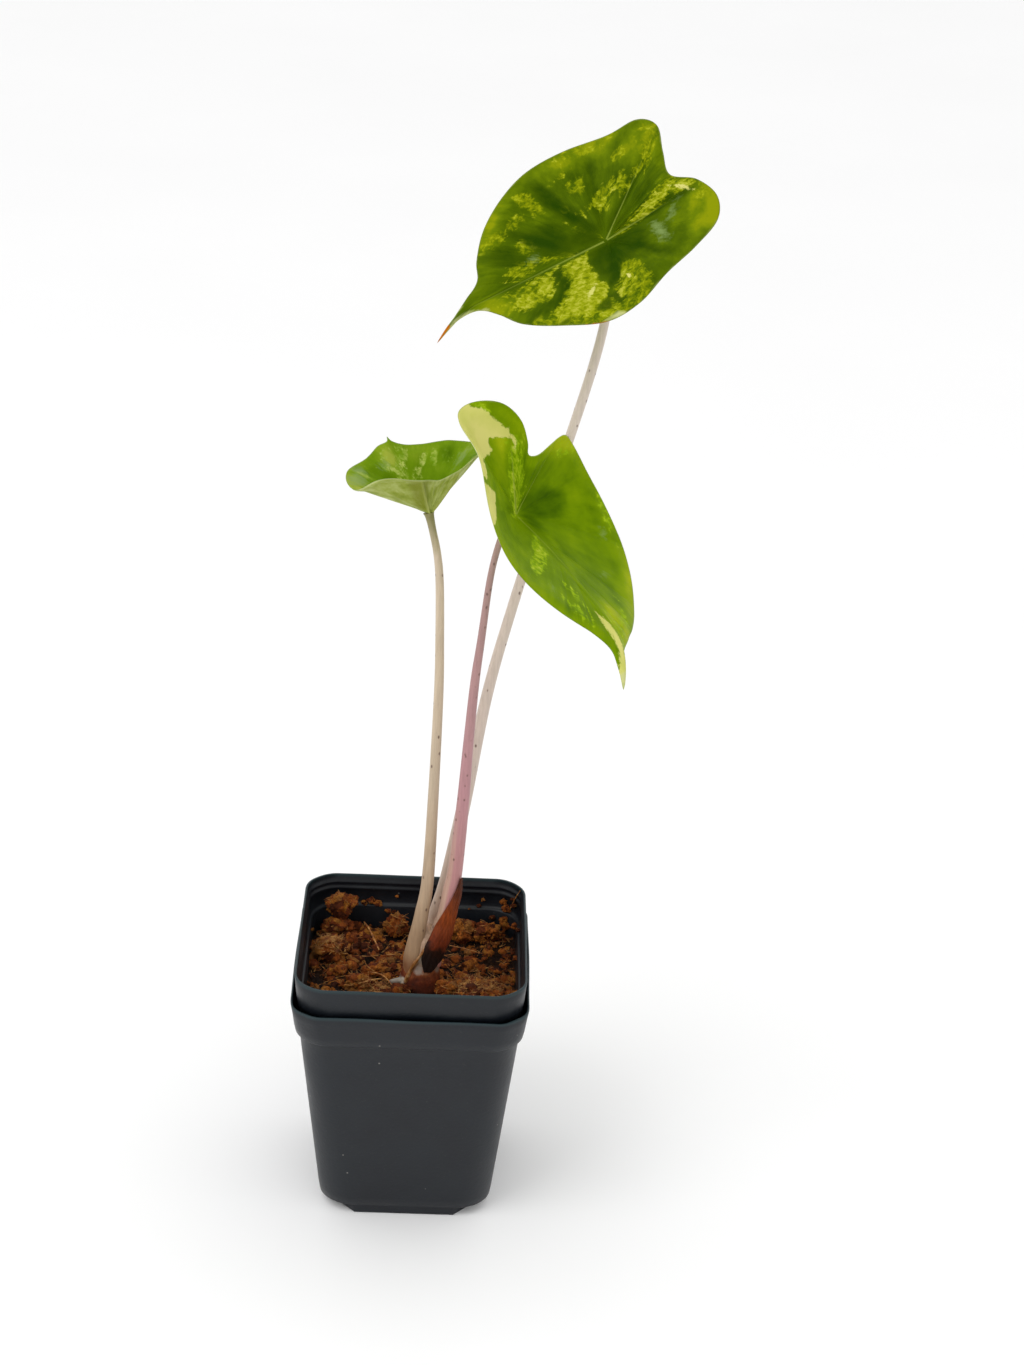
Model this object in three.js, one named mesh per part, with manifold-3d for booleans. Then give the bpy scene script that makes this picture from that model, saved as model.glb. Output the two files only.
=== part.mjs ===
// Potted variegated stingray alocasia, in millimetres, +Z up.
// Two square nursery pots, one wedged in the other, hold coir and a young plant with three leaves.
// The origin is the middle of the outer pot's underside, and the front of the plant faces -Y.
import * as THREE from "three";
import { mergeVertices } from "three/addons/utils/BufferGeometryUtils.js";
import Module from "manifold-3d";

const wasm = await Module();
wasm.setup();

// Clear space between pieces that touch
const GAP = 0.3;

// Pots
const POT = {
  height: 96,
  wall: 0.8,
  footHeight: 3.5,
  footHalf: 32.4,
  footChamfer: 13.3,
  baseHalf: 33.1,
  baseCorner: 12.5,
  shoulderHeight: 82,
  shoulderHalf: 41.1,
  rimCorner: 12.7,
  lipRound: 0.5,
  drainRadius: 4,
  drainOffset: 19,
};
// The band above the shoulder, at its foot and at the rim. The outer pot's is spread by the inner pot.
const OUTER_BAND = { lowHalf: 42.5, rimHalf: 44.6 };
const INNER_BAND = { lowHalf: 41.8, rimHalf: 43.1 };
const INNER_RISE = 10.9;
const CORNER_STEPS = 5;

// Soil
const SOIL_LEVEL = 88;
const SOIL_CELLS = 22;
// The larger lumps of coir: x, y, z, half-width, half-height
const SOIL_LUMPS = [
  [-29, 31.5, 96.5, 5.4, 5.5],
  [-30, 29, 90, 6, 4.5],
  [-7, 32.5, 90.4, 4.4, 4.6],
  [-32.5, 12, 89.5, 6.6, 5],
  [18, 27, 90, 5.6, 4],
  [28, 25, 90, 5.2, 3.6],
  [24, -12, 87.5, 10.5, 4.6],
  [-20, -8, 88, 5, 4],
  [-10, 2, 87.5, 4.5, 3.5],
];
const SMALL_LUMPS = 16;
const SMALL_LUMP_SIZES = [2.4, 4.6];
const SOIL_SEED = 7;

// Stem base: height, centre x, centre y, half-width, half-depth
const STEM_BASE = [
  [71, 3.4, -8, 2.6, 2.2],
  [75, 3.4, -8, 6, 5.2],
  [82, 3.3, -8, 8.2, 7],
  [88, 3.3, -8, 8.7, 7.4],
  [92, 3.2, -7.6, 7.8, 7],
  [98, 3.9, -6.8, 6.9, 6.4],
  [104, 4.6, -6, 6.5, 6.2],
  [109, 5.4, -5.2, 6.9, 6.4],
  [112, 5.6, -4.9, 7.3, 6.6],
];
const ROOT_STUB = { from: [-2.5, -9, 91.4], to: [-8.4, -10.6, 91.2], radius: 0.9 };

// Petioles: x, y, z, radius, from the stem base up to the underside of the blade
const PETIOLES = {
  petiole_left: {
    colour: "#c3b09c",
    route: [
      [1.9, -7.7, 112.8, 2.8],
      [3, -7.7, 120.6, 2.6],
      [4.8, -7, 134.6, 2.3],
      [5.7, -5.5, 166.4, 2],
      [6.4, -3.5, 208.7, 1.75],
      [6.1, -2.4, 230.5, 1.6],
      [5.4, -1.4, 251.8, 1.5],
      [4.2, -0.8, 263, 1.4],
      [2.2, -0.4, 272.2, 1.3],
      [1, -0.2, 277.4, 1.25],
    ],
  },
  petiole_middle: {
    colour: "#b98a8a",
    route: [
      [9.9, -7, 113, 3.1],
      [11.9, -7.6, 120, 3.1],
      [13.6, -8.4, 131.4, 3],
      [15, -9.3, 142, 2.7],
      [16.7, -11.2, 170, 2.3],
      [17.7, -13.1, 194, 1.9],
      [19.1, -15.2, 220, 1.65],
      [20.7, -16.6, 237.6, 1.4],
      [22.7, -18.2, 260, 1.2],
      [24.6, -19, 272, 1.15],
      [27, -19.3, 280.6, 1.15],
      [29.9, -19.75, 285.5, 1.1],
    ],
  },
  petiole_top: {
    colour: "#cbbcae",
    route: [
      [7.4, -0.6, 112.9, 2.6],
      [8.6, -0.8, 118.5, 2.6],
      [10.6, -0.7, 126, 2.6],
      [12.8, 0, 136.4, 2.6],
      [17.3, 2.1, 162.7, 2.5],
      [23.9, 5.5, 205, 2.1],
      [31.3, 8.2, 237.8, 1.9],
      [41.5, 11.4, 277, 1.8],
      [49.6, 13.9, 304.8, 1.75],
      [56.4, 16.2, 330.8, 1.7],
      [59.6, 18.2, 348, 1.6],
      [59.9, 20, 361, 1.5],
      [58.3, 20.8, 371.3, 1.4],
    ],
  },
};
const PETIOLE_SIDES = 12;
const PETIOLE_STEP = 6;

// Leaf blades. A blade is a cupped sheet around the joint with its petiole. The outline is laid
// flat, in mm from the joint, x towards the tip and y to the left, and is read from the tip
// round the left side, the sinus and the right side. Each ray from the joint rises out of the
// flat by the lift angles, in degrees, at the joint and at the margin. They are given at eight
// bearings from the tip round the left side. The tail is the drawn-out tip, which sways left and
// drops past its start.
const BLADE_THICKNESS = 0.8;
const BLADE_RINGS = 7;
const BLADES = {
  blade_top: {
    colour: "#7f9a2c",
    joint: [57.9, 20, 372.6],
    normal: [-0.29, -0.64, 0.71],
    heading: [-0.8, -0.25, -0.55],
    marginSteps: 64,
    lift: [[15, 10], [15, 17], [14, 20], [16, 19], [18, 18], [16, 19], [14, 20], [15, 17]],
    tail: { start: 51, sway: 7.2, drop: 0 },
    outline: [
      [70, -2.5], [59.5, -1.2], [51, 1.5], [46.5, 7], [42, 16], [32, 26], [19, 35.6],
      [6, 36.4], [-8, 32.2], [-21.5, 31], [-33, 28.4], [-38.4, 20], [-37, 8.5],
      [-31.2, -1],
      [-34.3, -9.7], [-38.3, -19], [-34, -26.2], [-22.9, -29.2], [-7, -34.8], [8, -36.4],
      [21, -33], [33, -26], [41.5, -17], [45.5, -10], [52, -6], [59.5, -3.8],
    ],
  },
  blade_middle: {
    colour: "#739a22",
    joint: [30.8, -20, 286.6],
    normal: [0.677, -0.178, 0.714],
    heading: [0.383, -0.743, -0.549],
    marginSteps: 72,
    lift: [[21, 5], [15, 13], [21, 24], [37, 42], [45, 59], [25, 15], [20, 29], [11, 12]],
    tail: { start: 60, sway: -14, drop: 3 },
    outline: [
      [87, 1], [76.5, 2.2], [68, 4.2], [60.5, 11], [54, 19], [45.5, 27], [34, 34.5],
      [22.4, 39], [10, 40.6], [-4, 38], [-17.6, 30.6], [-26, 23.5], [-29.3, 17], [-26.7, 9.8],
      [-21.3, -1.2],
      [-21.2, -4], [-24.8, -5.6], [-31, -10.2], [-34.6, -17], [-33.8, -24.5], [-30, -31.5],
      [-23.5, -37.5], [-11, -43.6], [3, -45.8], [17, -45], [30, -39], [42, -31.4], [53, -20.8],
      [61, -10.2], [68, -3.4], [76.5, -1.6],
    ],
  },
  blade_left: {
    colour: "#7d9b45",
    joint: [0.6, 0, 278.7],
    normal: [-0.26, 0.16, 0.95],
    heading: [-0.54, 0.8, -0.28],
    marginSteps: 54,
    lift: [[48, 54], [38, 44], [29, 35], [35, 41], [41, 47], [35, 41], [29, 35], [38, 44]],
    tail: { start: 30, sway: 0, drop: 0 },
    outline: [
      [32.7, -4.4], [30.8, 4.5], [26.8, 13], [23, 21], [17.9, 26.1], [9, 29.5], [-7.5, 31.5],
      [-16, 30.5], [-20, 25.5], [-20.5, 17], [-20, 8],
      [-18.1, 0.4],
      [-18.5, -6], [-18.6, -12], [-20, -17.5], [-18, -23], [-8, -29], [4, -31.7],
      [13.6, -28.9], [18.9, -24.6], [24, -17.5], [27.5, -11], [30, -6.6],
    ],
  },
};

// Dry sheath: height, centre x, centre y, inner radius, first and last bearing in degrees
const SHEATH_THICKNESS = 0.7;
const SHEATH_STEPS = 8;
const SHEATH = [
  [99, 4.2, -6.5, 7.4, -88, -74],
  [101.5, 4.5, -6.3, 7.3, -96, -48],
  [104, 4.9, -6.1, 7.25, -101, -20],
  [109, 6.4, -5.7, 7.4, -104, 15],
  [113, 8.8, -6.6, 5.6, -114, 30],
  [117, 10.8, -7.2, 4.1, -128, 36],
  [122, 12.1, -7.7, 3.75, -114, 34],
  [128, 13.1, -8.15, 3.65, -86, 20],
  [134, 13.9, -8.6, 3.55, -58, -12],
  [138, 14.5, -8.95, 3.5, -50, -34],
];

const rad = THREE.MathUtils.degToRad;

// A closed mesh from points and triangles
function shape(points, triangles) {
  const geometry = new THREE.BufferGeometry();
  geometry.setAttribute("position", new THREE.Float32BufferAttribute(points.flat(), 3));
  geometry.setIndex(triangles.flat());
  return geometry;
}

// A solid through closed rings with equal point counts, anticlockwise from above, bottom ring first
function loft(rings) {
  const count = rings[0].length;
  const points = rings.flat();
  const triangles = [];
  for (let level = 0; level + 1 < rings.length; level += 1) {
    for (let i = 0; i < count; i += 1) {
      const a = level * count + i;
      const b = level * count + ((i + 1) % count);
      triangles.push([a, b, b + count], [a, b + count, a + count]);
    }
  }
  const top = (rings.length - 1) * count;
  const lowest = points.push(middleOf(rings[0])) - 1;
  const highest = points.push(middleOf(rings.at(-1))) - 1;
  for (let i = 0; i < count; i += 1) {
    const next = (i + 1) % count;
    triangles.push([lowest, next, i], [highest, top + i, top + next]);
  }
  return shape(points, triangles);
}

function middleOf(ring) {
  return [0, 1, 2].map((axis) => ring.reduce((sum, p) => sum + p[axis], 0) / ring.length);
}

// Between three.js geometry and solids for joining and cutting
function solid(geometry) {
  const bare = geometry.clone();
  bare.deleteAttribute("normal");
  bare.deleteAttribute("uv");
  const merged = mergeVertices(bare, 1e-4);
  return new wasm.Manifold(new wasm.Mesh({
    numProp: 3,
    vertProperties: new Float32Array(merged.attributes.position.array),
    triVerts: new Uint32Array(merged.index.array),
  }));
}

function geometryOf(body) {
  const mesh = body.getMesh();
  const geometry = new THREE.BufferGeometry();
  geometry.setAttribute("position", new THREE.BufferAttribute(mesh.vertProperties, 3));
  geometry.setIndex(new THREE.BufferAttribute(mesh.triVerts, 1));
  return geometry;
}

// A smooth closed run through values that are evenly spaced over one turn
function smoothAround(values, turn) {
  const count = values.length;
  const at = (((turn * count) % count) + count) % count;
  const i = Math.floor(at);
  const f = at - i;
  const [p0, p1, p2, p3] = [-1, 0, 1, 2].map((k) => values[(i + k + count) % count]);
  return 0.5 * (2 * p1 + (p2 - p0) * f + (2 * p0 - 5 * p1 + 4 * p2 - p3) * f ** 2
    + (3 * p1 - p0 - 3 * p2 + p3) * f ** 3);
}

// Pots

function roundedSquare(half, corner, z) {
  const ring = [];
  for (let quarter = 0; quarter < 4; quarter += 1) {
    for (let step = 0; step <= CORNER_STEPS; step += 1) {
      const bearing = (quarter + step / CORNER_STEPS) * Math.PI / 2;
      const cx = (half - corner) * (quarter === 0 || quarter === 3 ? 1 : -1);
      const cy = (half - corner) * (quarter < 2 ? 1 : -1);
      ring.push([cx + corner * Math.cos(bearing), cy + corner * Math.sin(bearing), z]);
    }
  }
  return ring;
}

function octagon(half, chamfer, z) {
  const side = half - chamfer;
  return [
    [half, -side, z], [half, side, z], [side, half, z], [-side, half, z],
    [-half, side, z], [-half, -side, z], [-side, -half, z], [side, -half, z],
  ];
}

// The pot's outer form, drawn in and raised by an inset: body from base to shoulder, band, and foot
function potForm(band, inset, top) {
  const cornerAt = (z) => THREE.MathUtils.mapLinear(
    z, POT.footHeight, POT.height, POT.baseCorner, POT.rimCorner);
  const lipHalf = inset > 0 ? band.rimHalf : band.rimHalf - POT.lipRound / 2;
  const levels = [
    [POT.footHeight + inset, POT.baseHalf],
    [POT.shoulderHeight + inset, POT.shoulderHalf],
    [POT.shoulderHeight + inset + POT.lipRound, band.lowHalf],
    [POT.height - POT.lipRound, band.rimHalf],
    [top, lipHalf],
  ];
  const body = loft(levels.map(([z, half]) => roundedSquare(half - inset, cornerAt(z) - inset, z)));
  const foot = loft([
    octagon(POT.footHalf - inset, POT.footChamfer, inset),
    octagon(POT.footHalf - inset, POT.footChamfer, POT.footHeight + inset + 1),
  ]);
  return solid(body).add(solid(foot));
}

function drainHoles() {
  const places = [];
  for (const x of [-1, 0, 1]) {
    for (const y of [-1, 0, 1]) {
      if (x !== 0 || y !== 0) places.push([x * POT.drainOffset, y * POT.drainOffset]);
    }
  }
  return places.map(([x, y]) => {
    const hole = new THREE.CylinderGeometry(POT.drainRadius, POT.drainRadius, POT.wall * 4, 16);
    hole.rotateX(Math.PI / 2);
    hole.translate(x, y, 0);
    return solid(hole);
  });
}

function pot(band, rise) {
  let body = potForm(band, 0, POT.height).subtract(potForm(band, POT.wall, POT.height + 1));
  for (const hole of drainHoles()) body = body.subtract(hole);
  return geometryOf(body).translate(0, 0, rise);
}

// Plant

function ellipse([z, cx, cy, rx, ry], extra, sides) {
  return Array.from({ length: sides }, (_, i) => {
    const bearing = (i / sides) * Math.PI * 2;
    return [cx + (rx + extra) * Math.cos(bearing), cy + (ry + extra) * Math.sin(bearing), z];
  });
}

// A round stalk along a smooth route, its radius running from point to point
function stalk(route, sides, step) {
  const curve = new THREE.CatmullRomCurve3(route.map((p) => new THREE.Vector3(...p.slice(0, 3))));
  const steps = Math.ceil(curve.getLength() / step);
  const frames = curve.computeFrenetFrames(steps);
  const rings = [];
  for (let i = 0; i <= steps; i += 1) {
    const centre = curve.getPointAt(i / steps);
    const along = curve.getUtoTmapping(i / steps) * (route.length - 1);
    const k = Math.min(Math.floor(along), route.length - 2);
    const radius = THREE.MathUtils.lerp(route[k][3], route[k + 1][3], along - k);
    rings.push(Array.from({ length: sides }, (_, j) => {
      const turn = (j / sides) * Math.PI * 2;
      return centre.clone()
        .addScaledVector(frames.normals[i], radius * Math.cos(turn))
        .addScaledVector(frames.binormals[i], radius * Math.sin(turn))
        .toArray();
    }));
  }
  return loft(rings);
}

// The swollen base with its root stub, grown all round by an extra
function stemBase(extra) {
  const levels = STEM_BASE.map((level) => ellipse(level, extra, 24));
  const stub = stalk([
    [...ROOT_STUB.from, ROOT_STUB.radius * 1.3 + extra],
    [...ROOT_STUB.to, ROOT_STUB.radius + extra],
  ], 8, 3);
  return solid(loft(levels)).add(solid(stub));
}

// A point of a blade, at a fraction of the way from the joint to a margin point of the outline
function bladePoint(blade, axes, [x, y], fraction) {
  const reach = Math.hypot(x, y);
  const bearing = Math.atan2(y, x);
  const turn = bearing / (Math.PI * 2);
  const inner = rad(smoothAround(blade.lift.map((pair) => pair[0]), turn));
  const bend = rad(smoothAround(blade.lift.map((pair) => pair[1]), turn)) - inner || 1e-5;
  const lift = inner + bend * fraction;
  const out = reach * (Math.sin(lift) - Math.sin(inner)) / bend;
  const up = reach * (Math.cos(inner) - Math.cos(lift)) / bend;
  const { start, sway, drop } = blade.tail;
  const past = Math.max(0, (x * fraction - start) / (blade.outline[0][0] - start)) ** 1.5;
  return new THREE.Vector3(...blade.joint)
    .addScaledVector(axes.heading, out * Math.cos(bearing))
    .addScaledVector(axes.left, out * Math.sin(bearing) + sway * past)
    .addScaledVector(axes.normal, up - drop * past);
}

function bladeAxes(blade) {
  const normal = new THREE.Vector3(...blade.normal).normalize();
  const heading = new THREE.Vector3(...blade.heading).projectOnPlane(normal).normalize();
  return { normal, heading, left: new THREE.Vector3().crossVectors(normal, heading) };
}

// Margin points, evenly spaced along the smooth outline
function margin(blade) {
  const fine = blade.outline.length * 12;
  const xs = blade.outline.map((p) => p[0]);
  const ys = blade.outline.map((p) => p[1]);
  const loop = Array.from({ length: fine + 1 }, (_, i) => (
    new THREE.Vector2(smoothAround(xs, i / fine), smoothAround(ys, i / fine))));
  const run = [0];
  for (let i = 1; i <= fine; i += 1) run.push(run[i - 1] + loop[i].distanceTo(loop[i - 1]));
  return Array.from({ length: blade.marginSteps }, (_, i) => {
    const want = (i / blade.marginSteps) * run[fine];
    const k = run.findIndex((length, n) => n === fine || run[n + 1] > want);
    const point = loop[k].clone().lerp(loop[k + 1], (want - run[k]) / (run[k + 1] - run[k]));
    return point.toArray();
  });
}

// The upper face is a net of rings round the joint, and the lower face is the same net set back
function bladeShape(blade) {
  const axes = bladeAxes(blade);
  const edge = margin(blade);
  const count = edge.length;
  const upper = [bladePoint(blade, axes, [1, 0], 0)];
  for (let ring = 1; ring <= BLADE_RINGS; ring += 1) {
    for (const point of edge) upper.push(bladePoint(blade, axes, point, ring / BLADE_RINGS));
  }
  const faces = [];
  const index = (ring, i) => (ring === 0 ? 0 : 1 + (ring - 1) * count + (i % count));
  for (let i = 0; i < count; i += 1) {
    faces.push([0, index(1, i), index(1, i + 1)]);
    for (let ring = 1; ring < BLADE_RINGS; ring += 1) {
      faces.push([index(ring, i), index(ring + 1, i), index(ring + 1, i + 1)]);
      faces.push([index(ring, i), index(ring + 1, i + 1), index(ring, i + 1)]);
    }
  }
  const sheet = shape(upper.map((p) => p.toArray()), faces);
  sheet.computeVertexNormals();
  const normals = sheet.attributes.normal;
  const lower = upper.map((p, i) => (
    p.clone().addScaledVector(new THREE.Vector3().fromBufferAttribute(normals, i), -BLADE_THICKNESS)));
  const total = upper.length;
  const back = faces.map(([a, b, c]) => [a + total, c + total, b + total]);
  const rim = [];
  for (let i = 0; i < count; i += 1) {
    const a = index(BLADE_RINGS, i);
    const b = index(BLADE_RINGS, i + 1);
    rim.push([a, a + total, b + total], [a, b + total, b]);
  }
  return shape([...upper, ...lower].map((p) => p.toArray()), [...faces, ...back, ...rim]);
}

// A strip of bark-thin sheath, its sections running from bearing to bearing
function sheathShape() {
  const rings = SHEATH.map(([z, cx, cy, radius, first, last]) => {
    const arc = (r, from, to) => Array.from({ length: SHEATH_STEPS + 1 }, (_, i) => {
      const bearing = rad(THREE.MathUtils.lerp(from, to, i / SHEATH_STEPS));
      return [cx + r * Math.cos(bearing), cy + r * Math.sin(bearing), z];
    });
    return [...arc(radius + SHEATH_THICKNESS, first, last), ...arc(radius, last, first)];
  });
  return loft(rings);
}

// Soil

function seededRandom(seed) {
  let state = seed;
  return () => {
    state = (state * 16807) % 2147483647;
    return state / 2147483647;
  };
}

function soilHeight(x, y) {
  const broad = 1.4 * Math.sin(x * 0.11 + 1) * Math.cos(y * 0.13) - 1.2 * Math.sin(y * 0.06);
  const lumps = 0.9 * Math.sin(x * 0.42 + 2 * Math.sin(y * 0.31)) * Math.cos(y * 0.47 + 1);
  const bank = 2.5 * Math.exp(-(((x + 28) / 14) ** 2) - (((y - 22) / 18) ** 2));
  return SOIL_LEVEL + broad + lumps + bank;
}

// Everything below the lumpy surface, as a block to cut the pot's filling with
function soilBlock(half) {
  const n = SOIL_CELLS;
  const points = [];
  for (const base of [true, false]) {
    for (let j = 0; j <= n; j += 1) {
      for (let i = 0; i <= n; i += 1) {
        const x = (2 * i / n - 1) * half;
        const y = (2 * j / n - 1) * half;
        points.push([x, y, base ? 0 : soilHeight(x, y)]);
      }
    }
  }
  const level = (n + 1) ** 2;
  const at = (i, j) => j * (n + 1) + i;
  const triangles = [];
  for (let j = 0; j < n; j += 1) {
    for (let i = 0; i < n; i += 1) {
      const [a, b, c, d] = [at(i, j), at(i + 1, j), at(i + 1, j + 1), at(i, j + 1)];
      triangles.push([a + level, b + level, c + level], [a + level, c + level, d + level]);
      triangles.push([a, c, b], [a, d, c]);
    }
  }
  for (let k = 0; k < n; k += 1) {
    for (const [a, b] of [[at(k, 0), at(k + 1, 0)], [at(n, k), at(n, k + 1)],
      [at(k + 1, n), at(k, n)], [at(0, k + 1), at(0, k)]]) {
      triangles.push([a, b, b + level], [a, b + level, a + level]);
    }
  }
  return solid(shape(points, triangles));
}

function lump(random, [x, y, z, halfWidth, halfHeight]) {
  const ball = new THREE.IcosahedronGeometry(1, 1);
  const phase = random() * 6;
  const position = ball.attributes.position;
  for (let i = 0; i < position.count; i += 1) {
    const v = new THREE.Vector3().fromBufferAttribute(position, i);
    const rough = 1 + 0.16 * Math.sin(4 * v.x + phase) + 0.14 * Math.sin(5 * v.y + 3 * v.z + phase);
    position.setXYZ(i, v.x * rough, v.y * rough, v.z * rough);
  }
  ball.scale(halfWidth * (0.9 + 0.2 * random()), halfWidth * (0.75 + 0.2 * random()), halfHeight);
  ball.rotateZ(random() * Math.PI);
  ball.translate(x, y, z);
  return solid(ball);
}

function soil() {
  const random = seededRandom(SOIL_SEED);
  const topHalf = POT.shoulderHalf;
  const reach = topHalf * 0.86;
  const [least, most] = SMALL_LUMP_SIZES;
  const small = Array.from({ length: SMALL_LUMPS }, () => {
    const x = (2 * random() - 1) * reach;
    const y = (2 * random() - 1) * reach;
    const size = least + (most - least) * random();
    return [x, y, soilHeight(x, y) + 0.1 * size, size, 0.6 * size];
  });
  let top = soilBlock(topHalf);
  for (const place of [...SOIL_LUMPS, ...small]) top = top.add(lump(random, place));
  const inside = potForm(INNER_BAND, POT.wall + GAP, POT.height + 1).translate([0, 0, INNER_RISE]);
  return geometryOf(top.intersect(inside).subtract(stemBase(GAP)));
}

// Assembly

const plant = new THREE.Group();

function addPiece(name, geometry, colour, roughness) {
  geometry.computeVertexNormals();
  const material = new THREE.MeshStandardMaterial({ color: colour, roughness, metalness: 0 });
  const mesh = new THREE.Mesh(geometry, material);
  mesh.name = name;
  plant.add(mesh);
}

addPiece("outer_pot", pot(OUTER_BAND, 0), "#34383b", 0.5);
addPiece("inner_pot", pot(INNER_BAND, INNER_RISE), "#303438", 0.5);
addPiece("soil", soil(), "#8a4f22", 0.95);
addPiece("stem_base", geometryOf(stemBase(0)), "#8a4a2a", 0.6);
for (const [name, { colour, route }] of Object.entries(PETIOLES)) {
  addPiece(name, stalk(route, PETIOLE_SIDES, PETIOLE_STEP), colour, 0.5);
}
for (const [name, blade] of Object.entries(BLADES)) {
  addPiece(name, bladeShape(blade), blade.colour, 0.4);
}
addPiece("dry_sheath", sheathShape(), "#7a3d18", 0.7);

export default plant;
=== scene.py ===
# Potted variegated stingray alocasia: leaves, stalks, stem base, dry sheath, coir and two nursery pots.
# Shapes are worked out in millimetres, in the CAD frame, and turned to metres as each piece is made.
import math
import random
from functools import partial

import bmesh
import bpy
import numpy as np
from mathutils import Matrix, Vector, noise


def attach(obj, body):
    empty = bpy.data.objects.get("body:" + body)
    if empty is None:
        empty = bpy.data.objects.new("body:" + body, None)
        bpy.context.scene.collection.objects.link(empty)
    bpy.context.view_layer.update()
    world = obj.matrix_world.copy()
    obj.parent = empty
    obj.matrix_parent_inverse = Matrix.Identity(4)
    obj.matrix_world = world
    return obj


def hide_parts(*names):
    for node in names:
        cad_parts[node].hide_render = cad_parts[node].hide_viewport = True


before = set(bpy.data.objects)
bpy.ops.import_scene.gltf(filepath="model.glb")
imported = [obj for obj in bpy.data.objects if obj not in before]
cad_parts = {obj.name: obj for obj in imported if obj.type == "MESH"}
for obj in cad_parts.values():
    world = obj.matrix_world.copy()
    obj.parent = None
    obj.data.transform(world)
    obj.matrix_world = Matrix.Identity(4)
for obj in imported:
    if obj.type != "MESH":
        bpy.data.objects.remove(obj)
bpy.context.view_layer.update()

MM = 0.001

# Camera, fitted to the photograph
CAMERA_PLACE = (9.93, -834.2, 615.42)
CAMERA_RIGHT = (0.99901876, -0.00615028, 0.04385982)
CAMERA_UP = (-0.03683307, 0.4345376, 0.89990021)
CAMERA_FORWARD = (0.02459338, 0.90063269, -0.43388468)
FOCAL_PIXELS = 2563.3
IMAGE_HEIGHT = 1365
SENSOR = 36

# Stage: half the floor in mm, and a square light in metres and watts under a white sky
FLOOR_HALF = 8000
SKY_STRENGTH = 0.98
LIGHT_PLACE = (-0.7, -0.6, 1.3)
LIGHT_AIM = (0.02, 0, 0.2)
LIGHT_SIZE = 0.8
LIGHT_POWER = 5

# Pots: half widths and corner radii from the CAD model
WALL = 0.8
FOOT_HALF = 32.4
FOOT_HEIGHT = 3.5
FOOT_CHAMFER = 13.3
BASE_HALF = 33.1
CORNER = 12.6
SHOULDER_HEIGHT = 82
SHOULDER_HALF = 41.1
RIM_HEIGHT = 96
OUTER_BAND = (42.5, 44.55)
INNER_BAND = (41.8, 43.05)
INNER_RISE = 10.9
DRAIN_RADIUS = 4
DRAIN_OFFSET = 19

# Stem base: height, centre x, centre y, half width, half depth
STEM_BASE = [
    (73, 3.4, -8, 1, 1), (75, 3.4, -8, 6, 5.2), (82, 3.3, -8, 8.2, 7), (88, 3.3, -8, 8.6, 7.3),
    (92, 3.2, -7.6, 7.7, 6.9), (98, 3.9, -6.8, 6.7, 6.2), (104, 4.6, -6, 6.2, 5.9),
    (109, 5.4, -5.2, 5.8, 5.6), (113, 5.8, -4.9, 3, 3),
]
# The stub of a broken root, and the ochre edge of a sheath on the stem base: x, y, z and radius
BROKEN_ROOT = [(-2.5, -9, 91.4, 1.4), (-5.5, -9.9, 91.5, 1.1), (-8.2, -10.6, 91.2, 0.8)]
SHEATH_EDGE = [
    (5.9, -12, 110, 0.3), (4.4, -12.6, 107, 0.65), (2.6, -12.9, 104, 0.5), (0.9, -12.7, 101, 0.75),
    (-0.4, -12.2, 98, 0.6), (-1.4, -11.8, 95, 0.85), (-2.3, -11.4, 92, 0.9),
]

# Stalks: x, y, z and radius, from inside the stem base up to the underside of the blade
STALKS = {
    "petiole_left": [
        (1.9, -7.3, 92, 5.2), (1.2, -7.4, 100, 4.7), (1.3, -7.6, 107, 3.6), (1.9, -7.7, 112.8, 2.95),
        (3, -7.7, 120.6, 2.6), (4.8, -7, 134.6, 2.3), (5.7, -5.5, 166.4, 2), (6.4, -3.5, 208.7, 1.75),
        (6.1, -2.4, 230.5, 1.6), (5.4, -1.4, 251.8, 1.5), (4.2, -0.8, 263, 1.4), (2.2, -0.4, 272.2, 1.35),
        (1.1, -0.2, 276.9, 1.6), (0.7, 0, 278.4, 2),
    ],
    "petiole_middle": [
        (6.6, -6.8, 98, 4.4), (8.2, -7, 107, 3.7), (9.9, -7, 113, 3.2), (11.9, -7.6, 120, 3.1),
        (13.6, -8.4, 131.4, 3), (15, -9.3, 142, 2.7), (16.7, -11.2, 170, 2.3), (17.7, -13.1, 194, 1.9),
        (19.1, -15.2, 220, 1.65), (20.7, -16.6, 237.6, 1.4), (22.7, -18.2, 260, 1.2),
        (24.6, -19, 272, 1.15), (27, -19.3, 280.6, 1.2), (29.6, -19.7, 285, 1.5),
        (30.5, -19.9, 286.3, 1.9),
    ],
    "petiole_top": [
        (6.2, -2.6, 103, 3), (7.4, -0.6, 112.9, 2.6), (8.6, -0.8, 118.5, 2.6), (10.6, -0.7, 126, 2.6),
        (12.8, 0, 136.4, 2.6), (17.3, 2.1, 162.7, 2.5), (23.9, 5.5, 205, 2.1), (31.3, 8.2, 237.8, 1.9),
        (41.5, 11.4, 277, 1.8), (49.6, 13.9, 304.8, 1.75), (56.4, 16.2, 330.8, 1.7),
        (59.6, 18.2, 348, 1.6), (59.9, 20, 361, 1.5), (58.4, 20.6, 370.6, 1.7), (58, 20.2, 372.2, 2.2),
    ],
}
# Slot and name, the colours from foot to neck, and how far one side is beige
STALK_LOOKS = {
    "petiole_left": (
        "petiole_beige", "beige stalk skin", "#a98868", "#bfac93", "#cdbba2", "#6f701a", 0),
    "petiole_middle": (
        "petiole_pink", "pink stalk skin", "#b87f78", "#b28286", "#a5847e", "#9c8474", 0.9),
    "petiole_top": (
        "petiole_pale", "pale stalk skin", "#cbb29e", "#c9b8ab", "#d1c2b5", "#d3c5b8", 0),
}

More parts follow.
